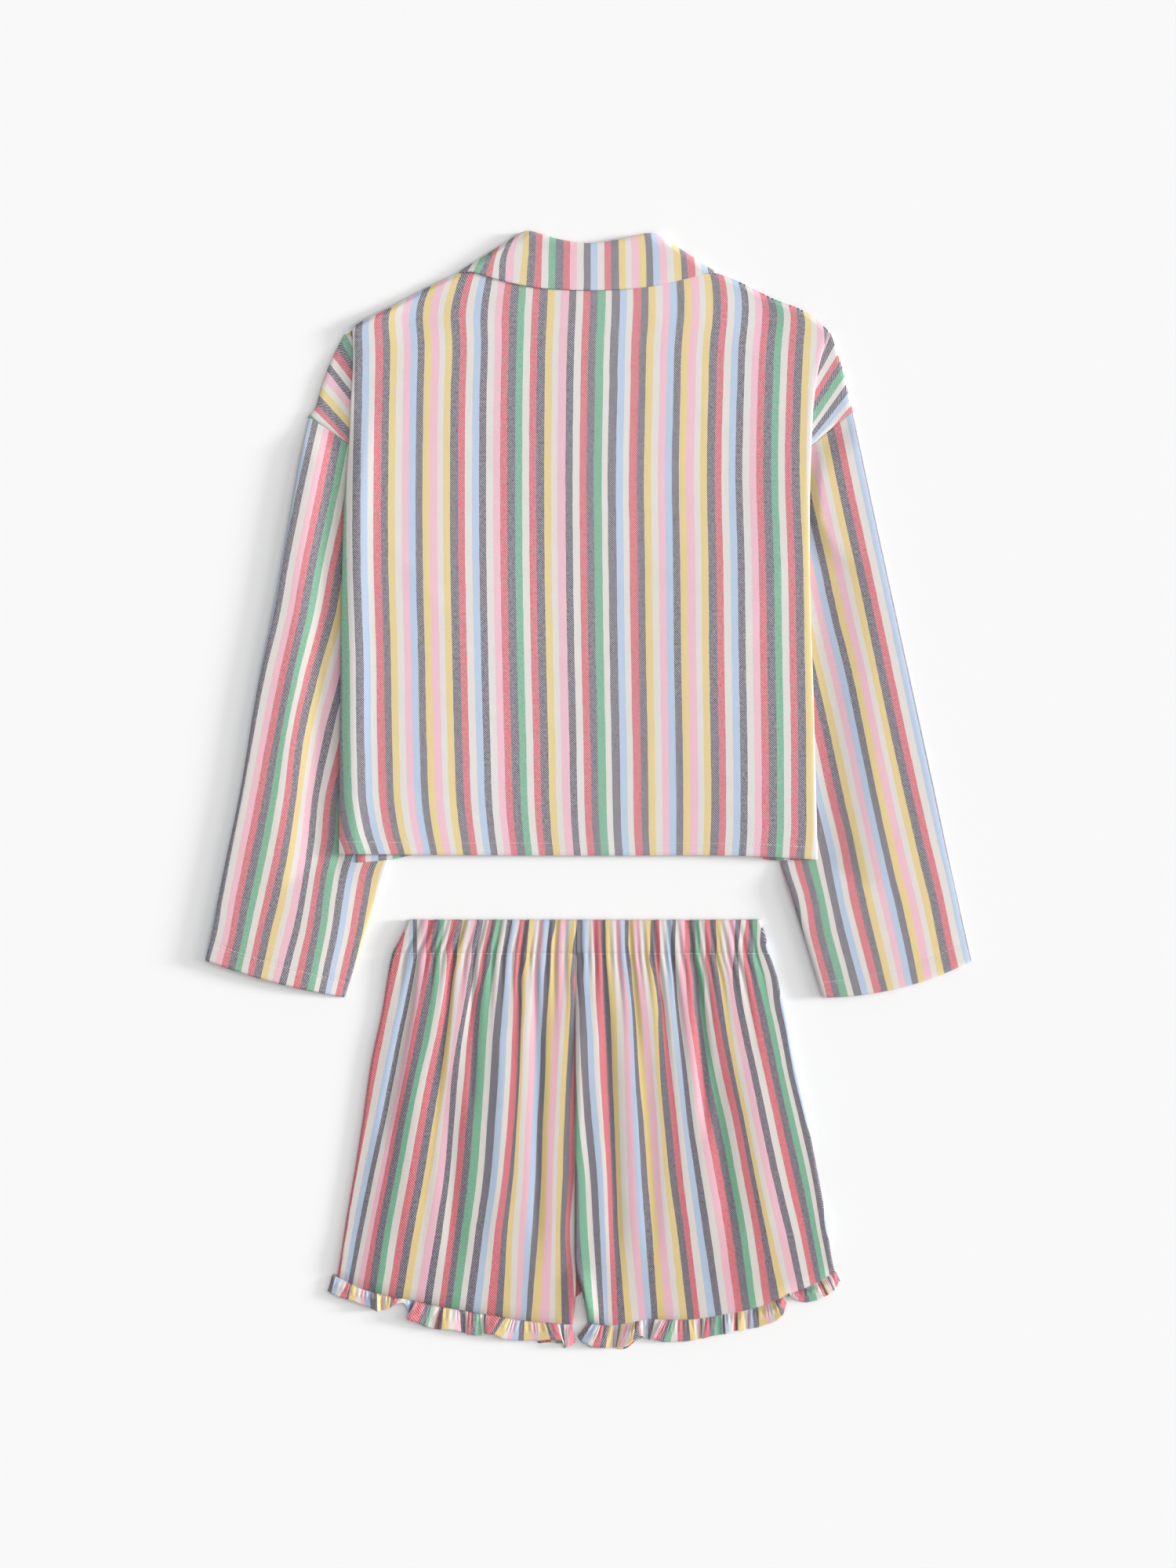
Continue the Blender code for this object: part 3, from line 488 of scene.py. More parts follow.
def end_stripes(side):
    """Distance across, and along, the cloth of a shoulder's end at a point."""
    table = np.array(END_STRIPES[side], float)
    place, at = stripe_place(table[:, 0]), np.arange(len(table))
    reads = [smooth(at, table[:, k]) for k in range(1, 5)]
    tilt = math.radians(35) * side_of(side)

    def read(x, y):
        low, high = np.full(x.shape, -1.5), np.full(x.shape, len(table) + 0.5)
        for _ in range(30):
            middle = (low + high) / 2
            outer_x, outer_y, inner_x, inner_y = (value(middle) for value in reads)
            below = (inner_x - outer_x) * (y - outer_y) - (inner_y - outer_y) * (x - outer_x)
            below = below * side_of(side) < 0
            low, high = np.where(below, middle, low), np.where(below, high, middle)
        return smooth(at, place)(middle), y * math.cos(tilt) - x * math.sin(tilt)
    return read


def end_patch(side):
    """The cloth of a shoulder that shows past the body's side fold, folded at its outer edge."""
    inward = side_of(side)
    fold = column(SHIRT_SIDES, side)
    outer = path(SHOULDER_END[side], END_ROWS)
    across = np.linspace(0, 1, END_COLUMNS)
    # It reaches 3 mm in under the body at the collar's side, and 12 mm at the armhole.
    low_y = curve(*ARMHOLE[side])(fold(305) + inward * 12)
    rows = []
    for tip_x, tip_y in outer:
        share = (outer[0, 1] - tip_y) / (outer[0, 1] - outer[-1, 1])
        inner_y = mix(404, low_y, share)
        inner_x = fold(inner_y) + inward * mix(3, 12, share)
        high = mix(*END_HEIGHT, ease(share * 2))
        back, height = bend(END_LOW, high, 3)
        turned_x = tip_x + inward * np.concatenate([[4, 0], back[1:-1] - (high - END_LOW) / 2])
        x, y = np.concatenate([turned_x, mix(tip_x, inner_x, across)]), mix(tip_y, inner_y, across)
        y = np.concatenate([np.full(len(turned_x), y[0]), y])
        z = np.concatenate([[END_LOW, END_LOW], height[1:-1], np.full(END_COLUMNS, high)])
        rows.append(line(x, y, z))
    mid = np.stack(rows)
    return facing_up(side, mid, grid(*end_stripes(side)(mid[..., 0], mid[..., 1])))


def front_top(side, x):
    """Y of a front's upper edge: the shoulder seam, and the V of the neckline."""
    out = -x * side_of(side)
    neckline = mix(*NECKLINE_Y, np.clip(out, 0, NECK_HALF) / NECK_HALF)
    return np.where(out > NECK_HALF, curve(*BACK_TOP)(np.clip(x, *SEAM_REACH)) - 1.5, neckline)


def front_patch(side, lap_rise):
    """A front panel: from beyond the side fold, over the sleeve, down to the surface and up on the lap. Its
    two parts meet along the armhole."""
    inward = side_of(side)
    fold, inner, armhole = column(SHIRT_SIDES, side), sleeve_edge(side), curve(*ARMHOLE[side])
    end, underarm = ARMHOLE[side]
    slit_y = underarm[1] - ARMHOLE_GAP
    centre = inward * FRONT_CENTRE
    share, down = np.linspace(0, 1, 40)[None, :], np.linspace(0, 1, 46)[:, None]

    def height(x, y):
        """Middle height of the front: on the sleeve, down beside it, on the surface and up on the lap, and
        on the collar's leaf."""
        inside = (x - inner(np.minimum(y, underarm[1])) - inward * 3) * inward
        over = (1 - ease(inside / 24)) * (y < slit_y + 1)
        z = mix(FLOOR_LAYER, under_body(side, x, y) + OVER_SLEEVE, over) + lap_rise * lap(x, 15, 12)
        leaf = ease((y - 380) / 20) * (1 - ease((np.abs(x) - 132) / 19))
        return np.maximum(z, FLOOR_LAYER + OVER_SLEEVE * leaf)

    def border(x, above):
        """Y of the line between the two parts: so far above the armhole, then level from the underarm on."""
        return np.where((x - underarm[0]) * inward < 3, armhole(x) + above, slit_y)

    y = mix(200, -60, down) + 0 * share
    for _ in range(SETTLE):
        x = mix(fold(y) + inward * 15, centre, share)
        y = mix(border(x, -ARMHOLE_GAP), curve(*FRONT_HEM)(x), down)
    lower = grid(x, y, height(x, y))

    outer = path(SHOULDER_END[side], 26)
    share = share[0]
    rows = []
    for k, point in enumerate(outer):
        part = k / (len(outer) - 1)
        bulge = point[0] - mix(outer[0, 0], end[0], part)
        x = mix(mix(outer[0, 0], centre, share), mix(end[0], centre, share), part)
        x = x + bulge * np.clip(1 - share * 3, 0, 1)
        y = mix(front_top(side, x), border(x, 0.6), part)
        rows.append(line(x, y, height(x, y)))
    return [facing_up(side, part, grid(60 - inward * part[..., 0], part[..., 1]))
            for part in (np.stack(rows), lower)]


# ---- sleeves ----

SLEEVE_COLUMNS = 44
SLEEVE_ROWS = 112           # down to just above the cuff's stitches
CUFF_ROW = SLEEVE_ROWS + 1  # the row of the stitches
CUFF_HEM = 13.5             # from the cuff's edge to its stitches
CUFF_BELLY = {"left": 3.2, "right": 8.0}    # how far the middle of a cuff's edge sags
STITCH_DENT = 0.35          # how far the stitches sink into the cloth
# Rows near a cuff, as shares of the sleeve's length: on both sides of the stitches, and from there round the
# edge with how far each is turned inside, in mm.
NEAR_STITCH = (-0.004, 0, 0.004, 0.01)
CUFF_TURN = ((0.99, 0), (0.997, 0), (1.0, 0), (1.0015, 0.5), (1.0, 1), (0.985, 1))
EDGE_STRIPE = 1.6           # cloth taken up by the crease of the outer side fold
EDGE_ARC = 2.4              # cloth round a side fold, for each mm of its radius
EDGE_TURNS = 7              # columns round the outer side fold
INNER_TURNS = 5             # and up to the inner seam
SLEEVE_LOFT = (3.3, 3.7)    # middle height of the upper layer at the armhole, and how much more past it
SLEEVE_CROWN = (0.8, 0.9)   # how much more in the middle of its width, and towards the cuff
SLEEVE_LEAN = 2.4           # how much lower a sleeve lies along its right edge
INNER_EDGE = {"left": 2.0, "right": 0.0}    # and along its inner edge past the body's hem
HEM_Y = -62                 # where the sleeves come free of the body
BESIDE_BODY = {             # how a sleeve lies beside the body, from the armhole down
    "left": (
        Recess(300, 5, 24, 1.4), Recess(200, 9, 32, 1.4), Recess(60, 13, 38, 1.4), Recess(-40, 15, 42, 1.3),
    ),
    "right": (
        Recess(310, 1, 7, 1.0), Recess(240, 1, 8, 1.0), Recess(212, 0, 30, 0.4), Recess(195, 0, 60, 0.0),
    ),
}


def sleeve_top(side, x, y, down, share):
    """Middle height of a sleeve's upper layer."""
    outside = -side_of(side) * (x - column(SHIRT_SIDES, side)(y))
    rows = BESIDE_BODY[side][::-1]
    start, run, dip = (np.interp(y, [row.y for row in rows], [getattr(row, want) for row in rows])
                       for want in ("start", "run", "dip"))
    past_hem = ease((HEM_Y - y) / 30)
    free = np.maximum(ease((outside - start) / run), past_hem)
    low = under_body(side, x, y) - dip * (1 - past_hem) * bell(outside - 2, 5)
    shape = np.sin(np.pi * np.clip(share, 0, 1)) ** 0.8
    loft = SLEEVE_LOFT[0] + SLEEVE_LOFT[1] * ease(down / 0.14)
    crown = SLEEVE_CROWN[0] + SLEEVE_CROWN[1] * ease((down - 0.7) / 0.3)
    from_left = share if side == "left" else 1 - share
    loft = loft + crown * shape * ease(down / 0.2) - SLEEVE_LEAN * ease(down / 0.3) * (from_left - 0.3)
    return mix(low, loft - INNER_EDGE[side] * past_hem * ease((share - 0.72) / 0.28), free)


def sleeve_patch(side):
    """A sleeve as one strip, sewn to itself along its inner edge, with its cuff turned in."""
    stations = SLEEVES[side]
    first, last = stations[0], stations[-1]
    shares = np.linspace(0, 1, len(stations))
    reads = [smooth(shares, [getattr(row, want) for row in stations]) for want in Section._fields]
    stitch = 1 - CUFF_HEM / math.hypot(first.outer_x - last.outer_x, first.outer_y - last.outer_y)
    axis = unit(np.array([last.outer_x - stations[2].outer_x, last.outer_y - stations[2].outer_y]))
    share = np.linspace(0, 1, SLEEVE_COLUMNS)
    turns = half_turn(EDGE_TURNS + 2)[1:-1]
    down = [*np.linspace(0, stitch - 0.012, SLEEVE_ROWS), *(stitch + step for step in NEAR_STITCH)]
    places = [(place, 0) for place in down] + [*CUFF_TURN, (stitch + 0.002, 1)]
    mids, cuts = [], []
    for n, (t, inset) in enumerate(places):
        outer = np.array([reads[0](t), reads[1](t)])
        span = np.array([reads[2](t), reads[3](t)]) - outer
        width = np.linalg.norm(span)
        belly = CUFF_BELLY[side] * ease((t - 0.75) / 0.25)

        def place(distance):
            """X and Y at distances in from the outer edge."""
            part = np.clip(distance / width, 0, 1)
            return outer + span / width * distance[:, None] + axis * (4 * belly * part * (1 - part))[:, None]

        flat = place(share * width)
        folds = (sleeve_top(side, flat[:, 0], flat[:, 1], t, share)[[0, -1]] - FLOOR_LAYER) / 2
        tips = 0.5 * folds
        distance = mix(tips[0], width - tips[1], share)
        flat = place(distance)
        across = SLEEVE_STRIPES[side](flat[:, 0], flat[:, 1])
        z = sleeve_top(side, flat[:, 0], flat[:, 1], t, share)
        z[[0, -1]] = FLOOR_LAYER + 2 * folds
        z = z - inset - (STITCH_DENT if n == CUFF_ROW else 0)
        # Distance in and height of the columns round each fold, from the bottom up. The inner seam closes
        # the strip, so the columns there start at the top and stop at it.
        near, far = ((tip - (tip - inset / 2) * np.cos(turns),
                      FLOOR_LAYER + fold + (fold - inset) * np.sin(turns)) for tip, fold in zip(tips, folds))
        far = width - far[0][::-1][:INNER_TURNS], far[1][::-1][:INNER_TURNS]
        ring = np.concatenate([
            line(*flat.T, FLOOR_LAYER + inset)[::-1], line(*place(near[0]).T, near[1]), line(*flat.T, z),
            line(*place(far[0]).T, far[1]),
        ])
        grow = np.sign(across[-1] - across[0])
        arcs = EDGE_ARC * folds
        steps = EDGE_TURNS + 1
        ring_across = np.concatenate([
            (across[0] - grow * (EDGE_STRIPE + arcs[0] + distance - distance[0]))[::-1],
            across[0] - grow * (EDGE_STRIPE + arcs[0] * (1 - np.arange(1, steps) / steps)), across,
            across[-1] + grow * arcs[1] * np.arange(1, INNER_TURNS + 1) / steps,
        ])
        mids.append(ring)
        cuts.append(grid(ring_across, -ring[:, :2] @ axis))
    mid = np.stack(mids)
    mid[0, :, 1] = curve(*ARMHOLE[side])(mid[0, :, 0]) - 0.6
    return facing_up(side, mid, np.stack(cuts))


# ---- collar ----

COLLAR_LEAF = (Station(-16, 424, -92, 404), Station(-34, 454, -104, 430), Station(-50, 480, -112, 450))
COLLAR_SHOULDER = {"left": Station(-60.5, 496.6, -115, 462), "right": Station(62.5, 494.6, 113, 462)}
COLLAR_FALL = (
    Station(-55, 498.2, -105, 462.5), Station(-47, 496.6, -88.5, 457.4), Station(-37, 493.6, -67, 451.8),
    Station(-24, 490, -43, 447.6), Station(0, 487, 0, 445.5), Station(26, 490, 38, 447),
    Station(38, 493.2, 63, 450.4), Station(48, 495.2, 87, 456), Station(56.5, 495.9, 105, 461),
)
COLLAR_COLUMNS = 30
LEAF_RIBS = 12
FALL_RIBS = 120
STAND_INSET = 6             # ribs from an end of the fall to an end of the stand
LEAF_LENGTH = 60.0          # cloth of a leaf past the shoulder
COLLAR_TOP = 5.0            # middle height where the collar turns over the shoulder seam
COLLAR_PUFF = 1.2           # how far the fall is puffed up near its roll
COLLAR_ABOVE = 1.7          # from the back's middle height to the fall's
STAND_DEPTH = 14            # cloth of the stand below the roll
COLLAR_HALF = 0.6           # half the thickness of the collar's two layers
ROLL = 1.5                  # radius of the roll at the back of the neck
COLLAR_STRIPES = stripe_field((38, 36, 35, 34, 33, 32, 31, 30, 28, 20, 12, 10, 8, 7, 6, 5, 4, 3), (
    (495.2, -84.3, -73.8, -71.5, -66.3, -63.3, -61.0, -57.3, -52.3, -40.5,
     8.8, 56.0, 65.9, 74.9, 79.6, 84.2, 88.3, 90.6, 93.0),
    (488.2, -88.4, -79.1, -76.2, -71.5, -67.4, -63.6, -57.5, -52.4, -40.6,
     8.8, 57.0, 68.2, 78.8, 82.7, 88.3, 92.4, 95.3, 98.2),
    (478.9, -93.1, -84.3, -81.1, -76.5, -71.3, -65.3, -58.1, -52.8, -40.8,
     8.8, 57.7, 70.3, 81.9, 86.6, 92.5, 97.1, 100.6, 104.1),
    (467.2, -99.5, -88.4, -83.8, -79.3, -72.9, -66.3, -59.3, -53.7, -41.2,
     8.8, 58.0, 70.9, 83.3, 88.9, 95.1, 101.1, 106.0, 109.9),
    (455.6, -105.9, -92.5, -85.5, -79.6, -73.3, -66.7, -60.4, -54.4, -41.4,
     8.8, 58.2, 71.2, 83.4, 89.5, 95.9, 102.3, 108.7, 114.0),
))


def resampled(stations, count):
    """The collar's stations on a smooth curve, as rows of roll X, roll Y, edge X, edge Y."""
    table = np.array(stations, float)
    at, fine = np.linspace(0, 1, len(table)), np.linspace(0, 1, count)
    return np.stack([smooth(at, table[:, k])(fine) for k in range(4)], -1)


def collar_rib(row, height):
    """Places across the collar, from its roll to its edge. height gives Z for arrays of X and Y."""
    share = np.linspace(0, 1, COLLAR_COLUMNS)[:, None]
    xy = row[:2] + (row[2:] - row[:2]) * share
    return line(*xy.T, height(*xy.T))


def collar_end(side):
    """The collar past the fall on one side, from the leaf up: ribs, and how much cloth lies past the fold."""
    outward = -side_of(side)
    radius = (COLLAR_TOP - FLOOR_LAYER) / 2
    leaf = resampled(COLLAR_LEAF, LEAF_RIBS) * np.array([-outward, 1, -outward, 1])
    ribs = [collar_rib(row, lambda x, y: FLOOR_LAYER) for row in leaf]
    past = [LEAF_LENGTH * (1 - k / LEAF_RIBS) + math.pi * radius / 2 for k in range(LEAF_RIBS)]
    shoulder = np.array(COLLAR_SHOULDER[side], float)
    down = unit(shoulder[2:] - shoulder[:2])
    away = outward * np.array([-down[1], down[0]])
    away = away if away[1] > 0 else -away
    along_roll = outward * unit(np.array([1, -0.28 * outward]))
    at_roll = 1 - ease(np.linspace(0, 1, COLLAR_COLUMNS) / 0.3)[:, None]
    for turn in half_turn(9)[:-1]:
        rib = collar_rib(shoulder, lambda x, y, turn=turn: FLOOR_LAYER + radius * (1 + math.sin(turn)))
        rib[:, :2] += mix(away, along_roll, at_roll) * radius * (math.cos(turn) - 1)
        ribs.append(rib)
        past.append(radius * max(0, -turn))
    return np.stack(ribs), np.array(past)


def collar_patches():
    """The fall with its two leaves as one strip, and the stand inside the roll."""
    def on_back(x, y):
        """Middle height of the fall, which lies on the back."""
        return back_z(x, np.minimum(y, curve(*BACK_TOP)(x))) + COLLAR_ABOVE
    fall = np.stack([collar_rib(row, on_back) for row in resampled(COLLAR_FALL, FALL_RIBS)])
    (left, left_past), (right, right_past) = collar_end("left"), collar_end("right")
    strip = np.concatenate([left, fall, right[::-1]])
    past = np.concatenate([left_past, np.zeros(FALL_RIBS), -right_past[::-1]])
    cut = grid(COLLAR_STRIPES(strip[..., 0], strip[..., 1]) + past[:, None], strip[..., 1])
    strip, cut = strip.transpose(1, 0, 2).copy(), cut.transpose(1, 0, 2).copy()

    # The fall is puffed up near its roll, less so towards both ends.
    ends = slice(len(left) + STAND_INSET, len(left) + FALL_RIBS - STAND_INSET)
    held = np.zeros(strip.shape[1])
    held[ends] = 1
    held = np.convolve(held, np.ones(9) / 9, "same")
    place = np.linspace(0, 1, COLLAR_COLUMNS)
    strip[..., 2] += COLLAR_PUFF * bell(place - 0.09, 0.16)[:, None] * held

    roll, roll_cut = strip[0, ends].copy(), cut[0, ends]
    neck_y = np.minimum(curve(*BACK_TOP)(roll[:, 0]) - 2, roll[:, 1] - 8)
    rows = [line(roll[:, 0], mix(neck_y, roll[:, 1] - ROLL, share), roll[:, 2] - 2 * ROLL)
            for share in (0, 0.5)]
    from_end = np.minimum(np.arange(len(roll)), np.arange(len(roll))[::-1])
    radius = ROLL * ease((from_end + 1) / 12)
    for turn in half_turn(8)[:-1]:
        rows.append(roll + line(0, radius * (math.cos(turn) - 1), radius * (math.sin(turn) - 1)))
    strip[0, ends, 1] -= radius
    for k in range(1, 5):
        strip[k, ends, 1] = np.minimum(strip[k, ends, 1], strip[0, ends, 1] - 0.8 * k)
    rows.append(strip[0, ends])
    stand_cut = np.repeat(roll_cut[None], len(rows), 0)
    stand_cut[..., 1] += np.linspace(STAND_DEPTH, 0, len(rows))[:, None]
    return [Patch(strip, cut, COLLAR_HALF), Patch(np.stack(rows), stand_cut, COLLAR_HALF)]


# ---- shorts ----

WAIST_Y = -115.8
CASING = 29.5               # depth of the casing's stitches below the waist
LEG_DEPTH = 320.0           # depth of the seam of the ruffle, before the hem's own curve
SHORTS_SIDES = (
    Sides(-115.8, -160.6, 152.9), Sides(-124, -163.4, 155.6), Sides(-135, -168.5, 158.9),
    Sides(-144, -173.6, 161), Sides(-153, -176, 163.6), Sides(-166, -178.4, 167.8),
    Sides(-180, -180.8, 171.0), Sides(-194, -183, 174.3), Sides(-240, -192.8, 182.8),
    Sides(-301, -201.9, 196.4), Sides(-345, -208.9, 204.8), Sides(-386, -216, 212.3),
    Sides(-420, -221.2, 217.2), Sides(-437, -224.3, 221),
)
INNER_EDGES = (
    Sides(-116, -11.6, -10.9), Sides(-300, -11.8, -11.2), Sides(-394, -12.0, -11.3),
    Sides(-422, -12.0, -10.9), Sides(-432, -11.9, -8.8), Sides(-445, -12.3, -4.9), Sides(-457, -13.2, -2.1),
    Sides(-469, -14.5, 0.0), Sides(-480, -15.8, 1.2),
)
SHORTS_HEM = {
    "left": (
        (-223, -436.4), (-208, -443.4), (-189, -448.3), (-176, -451.8), (-155, -455.3), (-133, -460.2),
        (-109, -464.4), (-84, -468.6), (-53, -473.5), (-23, -476.3), (-11, -478),
    ),
    "right": (
        (1, -474.5), (16.5, -477.3), (37, -474.9), (53, -471.8), (71, -472.2), (94, -471.8), (119, -467.9),
        (144, -463), (165.5, -456), (177, -450.4), (193.5, -444.1), (210, -437.1), (219, -431.5),
    ),
}
VALLEYS = {
    "left": (
        Valley(-165, 1.2, 60), Valley(-153.5, 2.4, 170), Valley(-145, 1.3, 50), Valley(-138, 1.6, 70),
        Valley(-131, 1.2, 60), Valley(-121, 3.6, 210), Valley(-110.5, 1.3, 60), Valley(-101.5, 2.4, 190),
        Valley(-94, 1.2, 50), Valley(-85, 2.0, 90), Valley(-76, 1.7, 60), Valley(-67.5, 1.5, 90),
        Valley(-60.5, 2.4, 170), Valley(-52, 1.2, 50), Valley(-46, 2.4, 170), Valley(-37, 1.5, 70),
        Valley(-29.5, 1.9, 90), Valley(-20.6, 1.4, 60),
    ),
    "right": (
        Valley(-6, 1.3, 50), Valley(1, 1.3, 60), Valley(7, 1.6, 80), Valley(14.3, 2.0, 150),
        Valley(21, 1.1, 50), Valley(27.6, 1.8, 90), Valley(35.3, 1.3, 60), Valley(40, 2.6, 150),
        Valley(46, 1.3, 60), Valley(52, 1.6, 80), Valley(57.7, 1.2, 60), Valley(63, 2.6, 200),
        Valley(70, 1.4, 70), Valley(76, 2.6, 190), Valley(85, 1.4, 70), Valley(91.3, 1.2, 50),
        Valley(95.5, 3.2, 200), Valley(102, 2.0, 110), Valley(108, 1.3, 60), Valley(115.8, 1.6, 80),
        Valley(121, 1.1, 50), Valley(127, 1.6, 80), Valley(135, 2.2, 110), Valley(143, 1.2, 60),
        Valley(152, 1.1, 60),
    ),
}
SHORTS_STRIPES = {
    "left": stripe_field((19, 21, 23, 25, 27, 29, 31, 33, 35, 37, 39, 41, 43, 45, 47, 49, 51, 53), (
        (-122, -162.2, -156.9, -149.7, -137.8, -128.7, -117.5, -109.8, -100.7, -90.2, -83.2, -73.4, -65.0,
         -58.0, -48.9, -40.5, -30.0, -20.2, -10.5),
        (-140, -165.8, -156.7, -149.7, -140.6, -131.5, -121.7, -112.6, -104.2, -94.4, -86.7, -76.2, -68.5,
         -60.1, -50.3, -41.2, -33.5, -23.0, -14.0),
        (-150, -167.9, -156.7, -150.4, -139.9, -132.2, -120.3, -114.7, -104.9, -96.5, -87.4, -78.3, -69.2,
         -60.8, -51.0, -42.6, -33.5, -23.0, -14.7),
        (-166, -171.4, -159.5, -152.5, -142.7, -132.9, -121.7, -118.9, -107.7, -98.6, -91.6, -79.7, -69.9,
         -63.6, -55.2, -45.4, -34.2, -21.6, -16.1),
        (-191, -177.0, -164.4, -156.7, -147.6, -136.4, -125.2, -121.7, -111.2, -104.2, -95.8, -82.5, -71.3,
         -62.2, -56.6, -44.7, -36.3, -23.0, -16.1),
        (-219, -182.6, -170.7, -162.3, -153.2, -141.3, -130.8, -123.1, -116.8, -108.4, -97.9, -85.3, -73.4,
         -62.2, -58.7, -46.8, -37.7, -25.8, -17.5),
        (-254, -189.6, -177.7, -168.6, -160.2, -149.7, -137.8, -126.6, -122.4, -111.2, -100.0, -87.4, -74.8,
         -63.6, -59.4, -48.2, -38.4, -27.9, -19.6),
        (-296, -197.3, -186.1, -177.0, -169.3, -158.1, -145.5, -133.6, -125.2, -115.4, -102.8, -90.2, -77.6,
         -66.4, -61.5, -51.0, -40.5, -30.0, -21.7),
        (-345, -207.1, -196.6, -187.5, -178.4, -167.2, -153.9, -141.3, -129.4, -119.6, -107.0, -93.7, -81.8,
         -71.3, -63.6, -53.1, -41.9, -32.1, -23.1),
        (-394, -215.5, -206.4, -197.3, -188.2, -176.3, -163.0, -150.4, -137.1, -125.2, -113.3, -100.7, -88.8,
         -77.6, -67.8, -56.6, -44.7, -32.8, -25.2),
        (-436, -221.8, -214.1, -205.7, -194.5, -182.6, -170.0, -157.4, -144.1, -130.8, -118.9, -106.3, -93.7,
         -81.1, -69.2, -58.7, -48.2, -34.2, -24.5),
    )),
    "right": stripe_field((1, 3, 5, 7, 9, 11, 13, 15, 17, 19, 21, 23, 25, 27, 29, 31, 33, 35, 37, 39, 41), (
        (-122, -17.5, -10.4, -1.3, 9.9, 19.7, 28.8, 35.8, 45.6, 55.4, 63.1, 74.3, 80.6, 90.4, 98.8, 108.6,
         117.7, 130.3, 139.4, 146.3, 153.7, 162.0),
        (-140, -17.5, -11.8, -0.6, 10.6, 19.7, 28.8, 35.8, 46.3, 54.7, 63.8, 72.9, 80.6, 90.4, 99.5, 109.3,
         118.4, 129.6, 136.6, 147.0, 153.4, 162.1),
        (-150, -17.5, -10.4, 0.8, 11.3, 19.7, 28.8, 37.2, 46.3, 54.0, 63.8, 72.9, 81.3, 90.4, 98.8, 108.6,
         117.7, 128.9, 137.3, 146.3, 157.2, 164.7),
        (-166, -17.5, -10.4, 0.1, 12.0, 21.8, 32.3, 38.6, 48.4, 58.2, 63.1, 75.0, 80.6, 92.5, 103.0, 110.0,
         121.2, 127.5, 139.4, 149.8, 162.5, 171.4),
        (-191, -17.5, -8.3, 1.5, 12.7, 24.6, 35.8, 40.7, 51.9, 61.7, 67.3, 77.1, 82.0, 93.9, 103.7, 114.2,
         124.0, 131.0, 142.9, 156.1, 165.6, 175.8),
        (-219, -17.5, -7.6, 3.6, 14.8, 25.3, 37.2, 42.8, 54.7, 62.4, 70.1, 79.9, 86.2, 98.1, 106.5, 119.1,
         127.5, 136.6, 148.5, 162.4, 171.6, 181.1),
        (-254, -16.8, -6.2, 5.0, 16.2, 26.0, 37.9, 44.9, 57.5, 63.8, 74.3, 83.4, 91.8, 102.3, 112.8, 126.1,
         133.8, 144.3, 156.2, 169.4, 178.4, 186.9),
        (-296, -15.4, -3.4, 8.5, 18.3, 27.4, 39.3, 49.1, 61.0, 67.3, 79.2, 87.6, 97.4, 110.0, 122.6, 135.2,
         142.2, 152.7, 165.3, 178.5, 188.5, 197.8),
        (-345, -9.1, 1.5, 12.7, 20.4, 28.8, 41.4, 52.6, 63.8, 72.2, 84.1, 94.6, 105.8, 119.8, 131.7, 144.3,
         152.0, 163.2, 175.8, 189.7, 199.6, 209.1),
        (-394, -7.7, 4.3, 14.8, 21.8, 30.9, 44.2, 56.8, 68.0, 79.2, 90.4, 101.6, 114.2, 128.2, 140.8, 153.4,
         162.5, 175.1, 187.7, 199.5, 207.6, 215.1),
        (-436, -4.2, 7.1, 16.2, 23.9, 35.1, 47.7, 59.6, 72.2, 84.1, 95.3, 107.9, 119.8, 133.8, 146.4, 159.7,
         172.3, 184.2, 196.1, 207.2, 215.7, 224.4),
    )),
}
SHORTS_CREASES = {
    "left": (
        Fold((-152, -140), (-188, -330), 5.0, -1.5), Fold((-128, -240), (-118, -440), 11.0, -1.1),
        Fold((-99, -150), (-106, -300), 4.5, -1.3), Fold((-43, -160), (-47, -440), 6.0, -1.7),
        Fold((-74, -200), (-84, -440), 9.0, 0.8), Fold((-150, -230), (-166, -420), 10.0, 0.8),
    ),
    "right": (
        Fold((14, -150), (27, -455), 6.5, -1.7), Fold((50, -190), (60, -440), 8.0, -1.1),
        Fold((94, -140), (106, -320), 4.5, -2.0), Fold((110, -220), (130, -410), 9.0, -1.3),
        Fold((34, -200), (46, -440), 8.0, 0.7), Fold((140, -230), (166, -420), 11.0, 0.8),
    ),
}
# Rows down the shorts' back: from one depth to another, and how many. They are close at the stitches.
BACK_DEPTHS = ((1.6, 26, 14), (27, 36, 13), (38, 90, 27), (94, LEG_DEPTH, 62))
STITCH_LINE = {"left": (-175.2, -11.6), "right": (162.5, -10.8)}     # X of its outer and its inner end
LOWEST = 2.6                # the upper layer never lies lower than this
CASING_STITCH = 2.9         # from one stitch of the casing to the next
CASING_LINING = 2.7         # middle height of the turned-in hem of the back
TURNED_IN = (27, 14, 2)     # how far below the waist its rows lie
FRONT_TURN = (              # rows of the front's turned-in hem
    Turned(27, 1.65, 0), Turned(12, 1.65, 0), Turned(0, 1.65, 0), Turned(0, 1.4, 0.5), Turned(0, 0.8, 0.5),
)
INNER_CURL = ((0.5, 0.1), (0.9, 0.3), (1.0, 0.65), (0.9, 1.0))   # shares of the way out, and down
FORK_REACH = 7.0            # how far the left front shows between the legs
CASING_ROW = 26             # the row of the casing's stitches
LEG_SETTLE = 5              # passes that bring a leg's X and Y into step
SIDE_UNDER = (8, 4, 0)      # how far in from a side fold the columns of its lower layer lie
SIDE_TUCK = 1.7             # how far a side fold bulges
TOP_BULGE = 1.6             # and the fold at the waist


